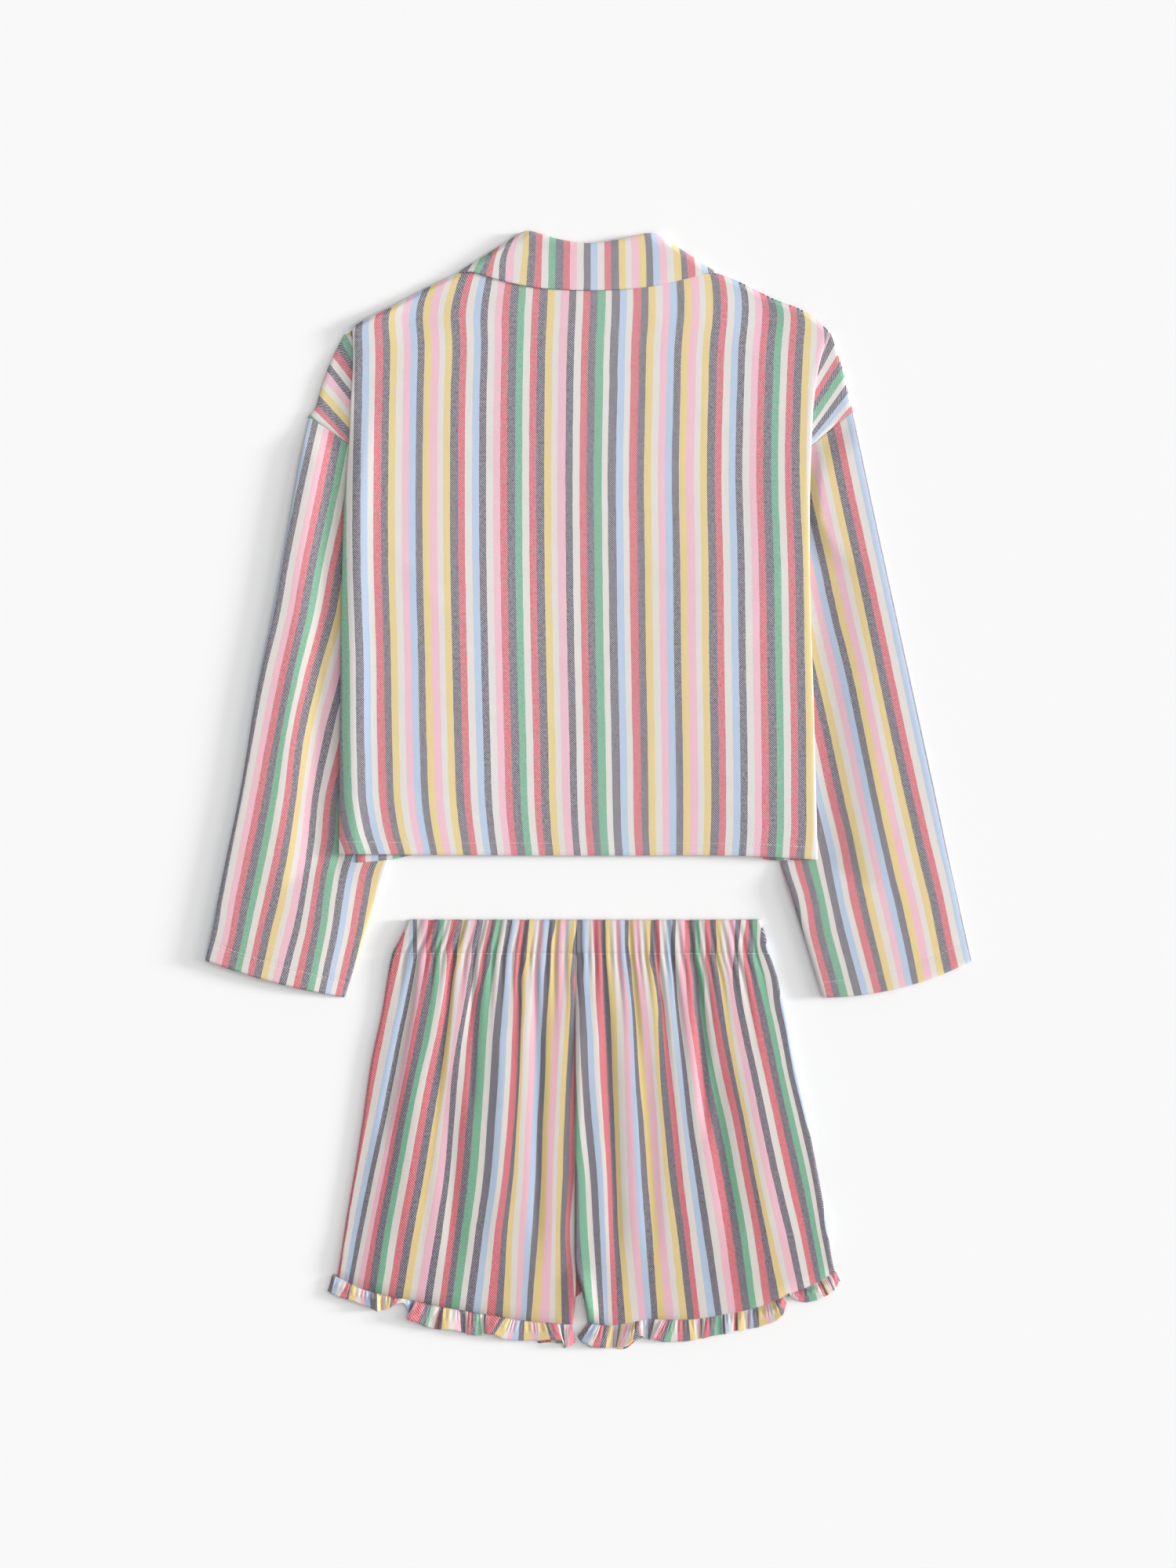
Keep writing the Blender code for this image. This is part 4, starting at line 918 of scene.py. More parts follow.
def gathered(side, at, depth):
    """Height of the gathers at a place along the stitch line and a depth below the waist."""
    total = 0 * at
    casing = np.clip(depth / CASING, 0, 1)
    below = np.clip(depth - CASING, 0, None)
    for valley in VALLEYS[side]:
        fade = np.where(depth < CASING, mix(0.45, 0.8, casing), np.exp(-(below / (0.5 * valley.run)) ** 1.2))
        width = 1.5 + 3.4 * np.clip(below / 100, 0, 1) + 1.3 * (1 - casing)
        total = total - valley.depth * fade * bell(at - valley.x, width * np.where(at < valley.x, 1.45, 0.8))
    return total


def leg_grid(side, depth, share, start=0.0):
    """X and Y of places on a leg: depth below the waist, share of the way in from the side fold."""
    outer, inner, hem = column(SHORTS_SIDES, side), column(INNER_EDGES, side), curve(*SHORTS_HEM[side])
    y = WAIST_Y - depth + 0 * share
    for _ in range(LEG_SETTLE):
        x = mix(outer(y) + side_of(side) * start, inner(y), share)
        y = WAIST_Y - depth - (WAIST_Y - LEG_DEPTH - hem(x)) * (depth / LEG_DEPTH) ** 2
    return x, y


def legs_apart(y):
    """Gap between the two legs, in mm."""
    return column(INNER_EDGES, "right")(y) - column(INNER_EDGES, "left")(y)


def leg_z(side, x, y, depth, share):
    """Middle height of the upper layer of the shorts."""
    # The leg lies lower below the casing and along its side fold.
    z = mix(5.3, 4.3, ease((depth - CASING) / 40)) + 2.6 * ease(share / 0.2)
    # The casing is round, with a groove along its stitches.
    z = z + 0.9 * np.sin(np.pi * np.clip(depth / CASING, 0, 1)) - 1.2 * bell(depth - CASING - 0.6, 2.0)
    # Gathers, and the leg's end, which falls to the seam of the ruffle.
    z = z + gathered(side, mix(*STITCH_LINE[side], share), depth)
    z = z + 0.7 * ease((depth - 270) / 30) - 3.2 * ease((depth - 312) / 8)
    # The seam at the centre sinks in. Beside it the right half rises and the left one falls.
    # Both turn up where the legs part.
    from_seam = np.abs(x - column(INNER_EDGES, side)(y))
    seam_width = mix(2.2, 7.0, ease((depth - 120) / 180))
    z = z - mix(1.6, 0.9, ease((depth - 60) / 180)) * bell(from_seam, seam_width) * (depth > CASING)
    z = z + (1.8 if side == "right" else -1.0) * bell(from_seam, 8) * ease((depth - 60) / 60)
    z = z + 3.4 * ease(legs_apart(y) / 5) * bell(from_seam, 9) * ease((322 - depth) / 14)
    for fold in SHORTS_CREASES[side]:
        z = z + crease(x, y, *fold)
    return np.maximum(z, LOWEST)


def shorts_back_patch(side):
    """Half of the shorts' back: its hem is turned in at the casing, its side folded under and its inner edge
    curled down."""
    inward = side_of(side)
    depth = np.concatenate([np.linspace(*part) for part in BACK_DEPTHS])[:, None]
    share = np.linspace(0, 1, 150)[None, :]
    x, y = leg_grid(side, depth, share, SIDE_TUCK)
    z = leg_z(side, x, y, depth, share)
    puckers = gathered(side, mix(*STITCH_LINE[side], share), 0 * depth)
    y = y + 0.55 * puckers * (1 - ease(depth / 14))
    mid, cut = grid(x, y, z), grid(SHORTS_STRIPES[side](x, y), y)

    (top_x, top_y, top_z), top_cut = mid[0].T, cut[0]
    rows = [line(top_x, top_y - back_y, CASING_LINING) for back_y in TURNED_IN]
    row_cuts = [top_cut + np.array([0, back_y + 4]) for back_y in TURNED_IN]
    for turn in half_turn(6)[:-1]:
        height = mix(CASING_LINING, top_z, (1 + math.sin(turn)) / 2)
        rows.append(line(top_x, top_y + TOP_BULGE * math.cos(turn), height))
        row_cuts.append(top_cut + np.array([0, 1.5 * math.cos(turn)]))
    mid, cut = np.concatenate([rows, mid]), np.concatenate([row_cuts, cut])

    (edge_x, edge_y, edge_z), edge_cut = mid[:, 0].T, cut[:, 0]
    under = [line(edge_x + inward * past, edge_y, FLOOR_LAYER) for past in SIDE_UNDER]
    under_cuts = [edge_cut - np.array([inward * (past + 5), 0]) for past in SIDE_UNDER]
    for turn in half_turn(8)[1:-1]:
        height = FLOOR_LAYER + (edge_z - FLOOR_LAYER) / 2 * (1 + math.sin(turn))
        under.append(line(edge_x - inward * SIDE_TUCK * math.cos(turn), edge_y, height))
        under_cuts.append(edge_cut - np.array([inward * 2.6 * (1 - 2 * turn / math.pi) / 2, 0]))
    (inner_x, inner_y, inner_z), inner_cut = mid[:, -1].T, cut[:, -1]
    room = np.clip(legs_apart(inner_y) / 2 - CLOTH, 0, 2 * CLOTH)
    low = np.minimum(inner_z, 1.5)
    curl = [line(inner_x + inward * room * out, inner_y, mix(inner_z, low, fall)) for out, fall in INNER_CURL]
    curl_cuts = [inner_cut + np.array([inward * 4 * fall, 0]) for _, fall in INNER_CURL]
    mid = np.concatenate([np.stack(under, 1), mid, np.stack(curl, 1)], 1)
    cut = np.concatenate([np.stack(under_cuts, 1), cut, np.stack(curl_cuts, 1)], 1)
    live = np.ones((mid.shape[0] - 1, mid.shape[1] - 1), bool)
    live[:len(rows) - 1, :len(under)] = False
    live[:len(rows) - 1, -len(curl):] = False
    return facing_up(side, mid, cut, live)


def shorts_front_patch(side):
    """Half of the shorts' front: it lies on the floor and is turned in at the casing."""
    depth, share = np.linspace(2, LEG_DEPTH, 100)[:, None], np.linspace(0, 1, 24)[None, :]
    x, y = leg_grid(side, depth, share, 13)
    z = np.full_like(x, FLOOR_LAYER)
    if side == "left":
        fork = ease((-395 - y) / 30) * ease((y + 455) / 9)
        x = x + FORK_REACH * fork * ease((share - 0.8) / 0.2)
        z = z + 1.2 * fork * ease((share - 0.8) / 0.2)
    mid, cut = grid(x, y, z), grid(-SHORTS_STRIPES[side](x, y), y)
    (top_x, top_y, _), top_cut = mid[0].T, cut[0]
    rows = [line(top_x, top_y + row.out - row.back, row.height) for row in FRONT_TURN]
    row_cuts = [top_cut + np.array([0, row.back + 2]) for row in FRONT_TURN]
    return facing_up(side, np.concatenate([rows, mid]), np.concatenate([row_cuts, cut]))


# ---- ruffles ----

FRILLS = {side: tuple(Frill(*row) for row in rows) for side, rows in {
    "left": (
        (3.3, -227.2, -231.3, -447.2, 0.5), (4, -226.1, -229.6, -448.8, 1.5),
        (6, -215.6, -221.8, -451.9, 2.6), (7, -212.7, -216.2, -453.6, 3.0), (8, -210.9, -214.1, -454.2, 3.2),
        (9, -206.3, -208.2, -456.2, 3.2), (10, -201.6, -204.3, -457.9, 3.2),
        (11, -198.7, -199.5, -459.4, 3.4), (12, -194.6, -194.6, -461.1, 4.2),
        (13, -188.8, -188.2, -464.3, 5.6), (14, -184.7, -184.9, -463.8, 1.2),
        (15, -182.3, -182.7, -463.5, 2.5), (16, -180.0, -180.6, -462.8, 3.5),
        (17, -175.9, -177.4, -462.0, 3.6), (18, -174.2, -175.9, -460.8, 3.3),
        (19, -168.3, -171.3, -457.9, 3.2), (20, -161.9, -163.9, -457.9, 2.6),
        (21, -157.9, -161.1, -464.9, 1.6), (22, -154.4, -159.0, -467.8, 0.8),
        (24, -151.8, -161.6, -471.3, 5.6), (25, -145.2, -151.8, -474.8, 4.8),
        (26, -140.6, -145.9, -477.8, 3.6), (27, -138.2, -143.3, -478.7, 3.0),
        (28, -132.2, -138.6, -480.3, 2.2), (29, -130.7, -135.4, -480.8, 1.0),
        (30, -129.3, -131.6, -480.7, 4.6), (31, -124.0, -125.8, -480.7, 4.9),
        (32, -118.2, -119.9, -481.2, 4.2), (33, -116.1, -114.1, -483.0, 3.0),
        (34, -110.6, -109.8, -484.2, 1.0), (35, -107.9, -108.6, -484.8, 4.1),
        (36, -104.2, -105.1, -485.3, 4.6), (37, -100.7, -100.7, -485.9, 4.1), (38, -97.4, -95.4, -486.1, 2.6),
        (39, -93.1, -93.1, -485.7, 1.2), (40, -91.6, -90.8, -483.6, 0.6), (42, -90.2, -91.8, -483.8, 5.0),
        (43, -78.5, -87.6, -485.0, 5.6), (44, -72.9, -84.1, -485.0, 5.3), (45, -68.6, -77.4, -488.8, 4.8),
        (46, -66.9, -73.3, -489.6, 4.5), (47, -64.3, -69.0, -490.0, 4.3), (48, -59.9, -63.1, -490.4, 4.2),
        (49, -57.3, -57.5, -490.4, 4.2), (50, -51.7, -50.3, -490.0, 4.2), (51, -47.6, -45.3, -490.6, 4.5),
        (52, -45.3, -43.5, -490.4, 4.7), (53, -39.4, -34.0, -489.4, 5.2), (54, -35.9, -29.5, -490.4, 5.2),
        (55, -28.4, -23.1, -491.2, 5.0), (56, -26.6, -21.6, -497.1, 2.2), (57, -24.9, -21.4, -497.4, 1.0),
        (58, -22.3, -20.4, -497.1, 3.6), (60, -16.3, -17.6, -495.8, 4.6), (61, -15.5, -12.3, -492.6, 2.2),
    ),
    "right": (
        (3, 2.5, -9.1, -486.8, 2.0), (4, 4.4, -6.6, -490.8, 3.6), (5, 10.0, -1.2, -493.9, 4.8),
        (6, 11.3, 3.2, -496.1, 5.0), (7, 13.8, 9.4, -497.0, 5.0), (8, 18.8, 15.0, -497.1, 4.5),
        (9, 22.1, 20.0, -497.4, 3.0), (10, 22.9, 21.9, -497.6, 1.0), (11, 24.4, 23.8, -497.0, 3.6),
        (14, 32.5, 26.6, -496.0, 5.5), (15, 38.1, 31.3, -495.8, 6.5), (16, 40.0, 35.0, -494.5, 7.0),
        (17, 41.9, 39.4, -490.8, 7.2), (18, 43.8, 45.4, -487.2, 6.2), (19, 45.6, 47.1, -486.4, 3.5),
        (20, 48.8, 50.6, -488.9, 1.0), (21, 53.1, 53.1, -489.5, 0.7), (22, 59.4, 55.1, -489.8, 2.6),
        (23, 66.9, 56.9, -488.2, 4.8), (24, 69.7, 59.4, -489.5, 5.0), (25, 71.3, 63.1, -490.8, 5.0),
        (26, 75.0, 66.9, -491.6, 4.6), (27, 76.9, 73.2, -491.6, 4.2), (28, 80.0, 78.8, -491.6, 4.0),
        (29, 85.0, 84.4, -491.4, 3.8), (30, 88.8, 90.4, -490.8, 4.0), (31, 93.4, 95.7, -489.8, 3.6),
        (33, 98.8, 100.9, -488.9, 1.0), (35, 104.4, 101.9, -488.9, 4.4), (36, 107.9, 107.5, -487.2, 4.5),
        (37, 111.9, 112.5, -486.0, 3.8), (38, 118.2, 118.8, -485.5, 2.0), (39, 119.7, 120.7, -485.1, 0.9),
        (40, 121.3, 121.9, -484.9, 4.5), (41, 124.4, 125.0, -483.6, 4.6), (42, 129.4, 128.8, -482.6, 4.0),
        (43, 131.9, 132.2, -482.0, 1.6), (44, 133.4, 133.2, -481.8, 4.2), (45, 138.8, 138.8, -481.0, 3.5),
        (46, 142.2, 142.9, -480.5, 1.5), (47, 143.8, 143.8, -480.1, 3.8), (48, 146.9, 147.2, -479.5, 4.2),
        (49, 151.3, 152.5, -478.2, 4.5), (50, 157.5, 159.2, -476.0, 4.8), (51, 160.0, 162.5, -475.1, 5.0),
        (52, 162.5, 166.9, -473.2, 5.5), (53, 165.7, 171.9, -468.9, 6.0), (54, 167.5, 174.2, -465.1, 5.0),
        (55, 171.9, 176.5, -457.0, 2.0), (56, 173.8, 177.8, -453.2, 0.8), (57, 176.3, 178.4, -451.4, 1.6),
        (58, 178.8, 179.7, -450.5, 3.6), (59, 180.7, 183.2, -453.2, 4.0), (60, 184.4, 187.2, -455.1, 4.2),
        (61, 191.3, 192.5, -456.4, 4.0), (62, 194.2, 196.9, -456.1, 4.0), (63, 200.7, 203.8, -454.5, 4.0),
        (64, 203.8, 209.4, -452.0, 3.8), (65, 206.3, 211.9, -450.8, 3.0), (66, 207.5, 213.8, -449.8, 3.5),
        (68, 210.7, 216.9, -448.0, 3.0), (69, 212.5, 218.4, -446.8, 2.5), (71, 215.7, 220.7, -443.9, 2.0),
        (72, 219.4, 223.2, -438.2, 0.6),
    ),
}.items()}
# Where the lower layer shows past the upper one: from which stripe, to which, and how far.
UNDERSIDE = {"left": ((50.5, 56, 3.2),), "right": ((2, 7, 1.5), (12.5, 20, 3.0))}
RUFFLE_ROWS, RUFFLE_COLUMNS = 18, 420
RUFFLE_CUT = 18.0           # length of the ruffle's cloth from its seam to its edge
RUFFLE_SEAM = 2.9           # middle height of the upper layer along the seam
RUFFLE_LOW = 1.9            # and along its edge, where each wave adds its lift
RUFFLE_LEAST = 1.75         # the upper layer never lies lower than this
RUFFLE_APART = 1.1          # least distance from the middle of the lower layer to the upper one's
RUFFLE_ROUND = 500.0        # cloth round the whole ring
EDGE_ROWS, EDGE_HALF = 3, 0.6   # rows of the turned edge, and half its thickness


def ruffle_patch(side):
    """A gathered frill: the upper half of the ring, the side fold and the lower half, as one strip."""
    inward = side_of(side)
    keys = FRILLS[side]
    reads = [smooth(np.arange(len(keys)), [getattr(key, want) for key in keys]) for want in Frill._fields]
    place = np.linspace(0, len(keys) - 1, RUFFLE_COLUMNS)
    stripe, seam_x, edge_x, edge_y, lift = (read(place) for read in reads)
    seam_y = curve(*SHORTS_HEM[side])(seam_x) + 1.0
    share = np.linspace(0, 1, RUFFLE_ROWS)[:, None]
    tuck = 0.35 * np.sin(stripe_place(stripe) * 1.1) * np.sin(np.pi * np.clip(share / 0.7, 0, 1))
    x, y = mix(seam_x, edge_x, share), mix(seam_y, edge_y, share)
    z = np.maximum(mix(RUFFLE_SEAM, RUFFLE_LOW + lift, ease(share / 0.5)) + tuck, RUFFLE_LEAST)
    across = stripe_place(stripe)
    upper, upper_cut = grid(x, y, z), grid(across, -share * RUFFLE_CUT)
    past = sum(reach * ease((stripe - start) / 1.5) * ease((end - stripe) / 1.5)
               for start, end, reach in UNDERSIDE[side])
    lower = grid(x, y + 1.5 * (1 - share) - past * share, np.minimum(FLOOR_LAYER, z - RUFFLE_APART))
    lower_cut = grid(RUFFLE_ROUND - across, -share * RUFFLE_CUT)

    outer = 0 if side == "left" else -1
    (edge_x, edge_y, edge_z), edge_cut = upper[:, outer].T, upper_cut[:, outer]
    radius = (edge_z - FLOOR_LAYER) / 2
    turns = half_turn(7)[1:-1]
    fold = [line(edge_x - inward * radius * math.cos(turn), edge_y,
                 FLOOR_LAYER + radius * (1 + math.sin(turn))) for turn in turns]
    fold_cut = [edge_cut - np.array([inward * 1.5 * (math.pi / 2 - turn), 0]) for turn in turns]
    # The strip runs from the lower layer's inner end out to the side fold, and back in on top.
    outwards, inwards = slice(None, None, -inward), slice(None, None, inward)
    mid = [lower[:, outwards], np.stack(fold, 1), upper[:, inwards]]
    cut = [lower_cut[:, outwards], np.stack(fold_cut, 1), upper_cut[:, inwards]]
    half = np.where(np.arange(RUFFLE_ROWS) >= RUFFLE_ROWS - EDGE_ROWS, EDGE_HALF, CLOTH)[:, None]
    patch = facing_up(side, np.concatenate(mid, 1), np.concatenate(cut, 1))
    return patch._replace(half=half)


# ---- sewing ----

# Rings round a stitch: place along its length, thickness, and rise.
STITCH_RINGS = ((-0.5, 0.35, -0.12), (-0.3, 1.0, 0.05), (0.3, 1.0, 0.05), (0.5, 0.35, -0.12))
STITCH_SIDES = 6
STITCH_LENGTH, STITCH_THICK = 2.1, 0.22


def sewing(name, row, step):
    """A row of single stitches laid on a line of points, as one piece."""
    reach = reached(row)
    at = np.arange(step / 2, reach[-1], step)
    middle, ahead = (np.stack([np.interp(at + on, reach, row[:, k]) for k in range(3)], -1)
                     for on in (0, 0.5))
    run = unit(ahead - middle)
    beside = unit(np.cross(run, np.array([0, 0, 1.0])))
    up = np.cross(beside, run)
    points = []
    for place, size, rise in STITCH_RINGS:
        centre = middle + run * place * STITCH_LENGTH + up * rise
        for turn in np.arange(STITCH_SIDES) * 2 * np.pi / STITCH_SIDES:
            points.append(centre + (beside * math.cos(turn) + up * math.sin(turn)) * STITCH_THICK * size)
    points = np.stack(points, 1)
    count, each = points.shape[:2]
    quads = []
    for ring in range(len(STITCH_RINGS) - 1):
        for k in range(STITCH_SIDES):
            a, b = ring * STITCH_SIDES + k, ring * STITCH_SIDES + (k + 1) % STITCH_SIDES
            quads.append((a, b, b + STITCH_SIDES, a + STITCH_SIDES))
    caps = np.array(((0, 1, 2, 3), (0, 3, 4, 5)))
    quads = np.concatenate([quads, caps[:, ::-1], caps + (len(STITCH_RINGS) - 1) * STITCH_SIDES])[:, ::-1]
    faces = (quads[None] + np.arange(count)[:, None, None] * each).reshape(-1, 4)
    return mesh_object(name, points.reshape(-1, 3), faces, thread())


def on_top(points, above):
    """Points moved up."""
    return points + np.array([0, 0, above])


# ---- materials ----

def new_group(name, *outputs, kind="NodeSocketFloat"):
    """An empty node group that is given a place across and along the cloth."""
    group = bpy.data.node_groups.new(name, "ShaderNodeTree")
    for label in ("Across", "Along"):
        group.interface.new_socket(label, in_out="INPUT", socket_type="NodeSocketFloat").default_value = 0.0
    for label in outputs:
        group.interface.new_socket(label, in_out="OUTPUT", socket_type=kind)
    given = group.nodes.new("NodeGroupInput").outputs
    return group, given["Across"], given["Along"], group.nodes.new("NodeGroupOutput").inputs


def new_material(name):
    """A material with its node tree and its shader's inputs."""
    made = bpy.data.materials.new(name)
    made.use_nodes = True
    return made, made.node_tree, made.node_tree.nodes["Principled BSDF"].inputs


def feed(tree, socket, value):
    """Links a socket to another one, or sets it to a constant."""
    if isinstance(value, bpy.types.NodeSocket):
        tree.links.new(value, socket)
    else:
        socket.default_value = value


def math_node(tree, operation, *values, clamp=False):
    """The result of a sum on sockets and constants."""
    node = tree.nodes.new("ShaderNodeMath")
    node.operation, node.use_clamp = operation, clamp
    for socket, value in zip(node.inputs, values):
        feed(tree, socket, value)
    return node.outputs[0]


def noise_node(tree, x, y, scale, detail=2.0):
    """Noise at a place across and along the cloth."""
    place = tree.nodes.new("ShaderNodeCombineXYZ")
    for socket, value in zip(place.inputs, (x, y)):
        tree.links.new(value, socket)
    noise = tree.nodes.new("ShaderNodeTexNoise")
    noise.inputs["Scale"].default_value = scale
    noise.inputs["Detail"].default_value = detail
    tree.links.new(place.outputs[0], noise.inputs["Vector"])
    return noise.outputs["Fac"]


def object_noise(tree, scale, distortion=0.0):
    """Noise in an object's own coordinates, in metres."""
    place = tree.nodes.new("ShaderNodeTexCoord")
    noise = tree.nodes.new("ShaderNodeTexNoise")
    noise.inputs["Scale"].default_value = scale
    noise.inputs["Distortion"].default_value = distortion
    tree.links.new(place.outputs["Object"], noise.inputs["Vector"])
    return noise.outputs["Fac"]


def mix_colour(tree, share, a, b, blend="MIX"):
    """A colour between two, or one times the other."""
    node = tree.nodes.new("ShaderNodeMix")
    node.data_type, node.blend_type = "RGBA", blend
    for socket, value in ((node.inputs[0], share), (node.inputs[6], a), (node.inputs[7], b)):
        feed(tree, socket, value)
    return node.outputs[2]


def woven_stripes_group():
    """Colour of the warp yarns at a place across the cloth."""
    found = bpy.data.node_groups.get("woven stripes")
    if found:
        return found
    settings = bpy.context.scene.pyjama_cloth
    group, across, along, made = new_group("woven stripes", "Warp", kind="NodeSocketColor")
    wander = noise_node(group, across, along, 0.06)
    moved = math_node(group, "MULTIPLY_ADD", wander, 0.9, math_node(group, "SUBTRACT", across, 0.45))
    place = math_node(group, "FRACT", math_node(group, "DIVIDE", moved, REPEAT))
    # A ramp holds at most 32 stops, so each of two ramps has half of the stripes.
    half = len(STRIPE_ORDER) // 2
    ramps = []
    for first in (0, half):
        ramp = group.nodes.new("ShaderNodeValToRGB")
        ramp.color_ramp.interpolation = "CONSTANT"
        stops = ramp.color_ramp.elements
        stops.remove(stops[1])
        for k in range(first, first + half):
            at = float(STRIPE_STARTS[k]) / REPEAT
            stop = stops[0] if k == first else stops.new(at)
            stop.position = 0.0 if k == first else at
            stop.color = (*getattr(settings, STRIPE_ORDER[k]), 1)
        group.links.new(place, ramp.inputs["Fac"])
        ramps.append(ramp.outputs["Color"])
    second = math_node(group, "GREATER_THAN", place, float(STRIPE_STARTS[half]) / REPEAT)
    group.links.new(mix_colour(group, second, *ramps), made["Warp"])
    return group


def twill_group():
    """Share of white weft that shows between the warp yarns, and the height of the weave."""
    found = bpy.data.node_groups.get("twill")
    if found:
        return found
    pitch = bpy.context.scene.pyjama_cloth.twill_pitch * math.sqrt(2) / MM
    group, across, along, made = new_group("twill", "Weft", "Height")
    wobble = noise_node(group, across, along, 0.35)
    diagonal = math_node(group, "DIVIDE", math_node(group, "ADD", across, along), pitch)
    phase = math_node(group, "MULTIPLY_ADD", wobble, 0.35, diagonal)
    wave = math_node(group, "SINE", math_node(group, "MULTIPLY", phase, 2 * math.pi))
    crossing = math_node(group, "SUBTRACT", across, along)
    yarn = math_node(group, "SINE", math_node(group, "MULTIPLY", crossing, 5.2))
    ridge = math_node(group, "MULTIPLY_ADD", yarn, 0.12, wave)
    # Uneven yarns: patches, and longer slubs.
    for scale, size in ((0.8, 0.9), (0.38, 1.7)):
        uneven = noise_node(group, across, along, scale)
        ridge = math_node(group, "ADD", ridge, math_node(group, "MULTIPLY_ADD", uneven, size, -size / 2))
    weft = math_node(group, "MULTIPLY_ADD", ridge, 1.3, -0.03, clamp=True)
    group.links.new(math_node(group, "MULTIPLY_ADD", weft, 0.72, 0.10), made["Weft"])
    group.links.new(math_node(group, "MULTIPLY_ADD", weft, -1.0, 1.0), made["Height"])
    return group


def nap_group():
    """Light and dark of the brushed surface, and the height of its fibres."""
    found = bpy.data.node_groups.get("brushed nap")
    if found:
        return found
    group, across, along, made = new_group("brushed nap", "Tint", "Fibres")
    clouds = noise_node(group, across, along, 0.045, 3.0)
    fibres = noise_node(group, across, along, 2.6, 3.0)
    tint = math_node(group, "ADD", math_node(group, "MULTIPLY_ADD", clouds, 0.10, 0.95),
                     math_node(group, "MULTIPLY_ADD", fibres, 0.24, -0.12))
    group.links.new(tint, made["Tint"])
    group.links.new(fibres, made["Fibres"])
    return group


# Painted shade: some pieces are made darker than the shirt's body, the shorts and ruffles for light that falls
# off towards the bottom and the sleeves for the shade on them: their tint, and the share of the weft that
# shows.
PAINTED_SHADE_TONES = {
    "shorts": ShadeTone((0.885, 0.865, 0.852), 0.77), "ruffle": ShadeTone((0.93, 0.91, 0.90), 0.85),
    "sleeve": ShadeTone((0.96, 0.945, 0.935), 0.96),
}
UNSHADED_TONE = ShadeTone((1, 1, 1), 1)


def flannel(slot):
    """Brushed striped twill, woven in the cloth's own coordinates."""
    name = slot + "_flannel"
    found = bpy.data.materials.get(name)
    if found:
        return found
    settings = bpy.context.scene.pyjama_cloth
    # The piece's painted shade; the shirt's body and collar have none
    painted_shade = PAINTED_SHADE_TONES.get(slot.split("_")[0], UNSHADED_TONE)
    made, tree, shader = new_material(name)
    place = tree.nodes.new("ShaderNodeAttribute")
    place.attribute_name = "cut"
    parts = tree.nodes.new("ShaderNodeSeparateXYZ")
    tree.links.new(place.outputs["Vector"], parts.inputs[0])
    groups = []
    for make in (woven_stripes_group, twill_group, nap_group):
        node = tree.nodes.new("ShaderNodeGroup")
        node.node_tree = make()
        tree.links.new(parts.outputs[0], node.inputs["Across"])
        tree.links.new(parts.outputs[1], node.inputs["Along"])
        groups.append(node.outputs)
    stripes, twill, nap = groups
    warp = mix_colour(tree, 1.0, stripes["Warp"], nap["Tint"], "MULTIPLY")
    light = tree.nodes.new("ShaderNodeRGBToBW")
    tree.links.new(stripes["Warp"], light.inputs[0])
    hidden = math_node(tree, "MULTIPLY_ADD", light.outputs[0], -0.55, 1.0)
    # Painted shade: less weft shows on the darkened pieces
    shown = math_node(tree, "MULTIPLY", math_node(tree, "MULTIPLY", twill["Weft"], hidden), painted_shade.weft)
    colour = mix_colour(tree, shown, warp, (*settings.weft, 1))
    # Painted shade: the piece's tint darkens its colour
    feed(tree, shader["Base Color"], mix_colour(tree, 1.0, colour, (*painted_shade.tint, 1), "MULTIPLY"))
    bump = tree.nodes.new("ShaderNodeBump")
    bump.inputs["Strength"].default_value = 0.6
    bump.inputs["Distance"].default_value = settings.nap * 0.5
    feed(tree, bump.inputs["Height"], math_node(tree, "MULTIPLY_ADD", nap["Fibres"], 0.6, twill["Height"]))
    feed(tree, shader["Normal"], bump.outputs["Normal"])
    shader["Roughness"].default_value = 0.95
    shader["Specular IOR Level"].default_value = 0.2
    shader["Sheen Weight"].default_value = 0.15
    shader["Sheen Roughness"].default_value = 0.5
    return made


def thread():
    """Twisted sewing thread."""
    found = bpy.data.materials.get("sewing_thread")
    if found:
        return found
    made, tree, shader = new_material("sewing_thread")
    colour = mix_colour(tree, object_noise(tree, 2500), (0.62, 0.58, 0.55, 1), (0.86, 0.84, 0.82, 1))
    feed(tree, shader["Base Color"], colour)
    shader["Roughness"].default_value = 0.7
    return made


def moulded_button():
    """Milky moulded plastic with faint swirls."""
    made, tree, shader = new_material("milky_button")
    swirl = object_noise(tree, 180, 2.5)
    feed(tree, shader["Base Color"], mix_colour(tree, swirl, (0.70, 0.66, 0.60, 1), (0.90, 0.88, 0.84, 1)))
    feed(tree, shader["Roughness"], math_node(tree, "MULTIPLY_ADD", swirl, 0.2, 0.22))
    shader["Coat Weight"].default_value = 0.3
    return made


# ---- settings ----

COLOURS = (
    ("white", "White", "Natural white stripe", (0.742, 0.704, 0.670)),
    ("yellow", "Yellow", "Straw yellow stripe", (0.793, 0.598, 0.205)),
    ("blue", "Blue", "Pale blue stripe", (0.427, 0.560, 0.762)),
    ("pink", "Pink", "Pink stripe", (0.870, 0.470, 0.575)),
    ("red", "Red", "Dusty red stripe", (0.668, 0.055, 0.098)),
    ("green", "Green", "Green stripe", (0.080, 0.400, 0.215)),
    ("black", "Black", "Soft black stripe", (0.036, 0.026, 0.077)),
    ("weft", "Weft", "White yarn that shows as fine diagonal lines", (0.720, 0.700, 0.690)),
)


def colour_property(label, text, value):
    """A colour among the settings."""
    return bpy.props.FloatVectorProperty(name=label, description=text, default=value, size=3, min=0, max=1,
                                         subtype="COLOR")


def length_property(label, text, value, low):
    """A length in metres among the settings."""
    return bpy.props.FloatProperty(name=label, description=text, default=value, min=low, unit="LENGTH")


def number_property(label, text, value, low=0, high=180):
    """A strength, or an angle in degrees, among the settings."""
    return bpy.props.FloatProperty(name=label, description=text, default=value, min=low, max=high)


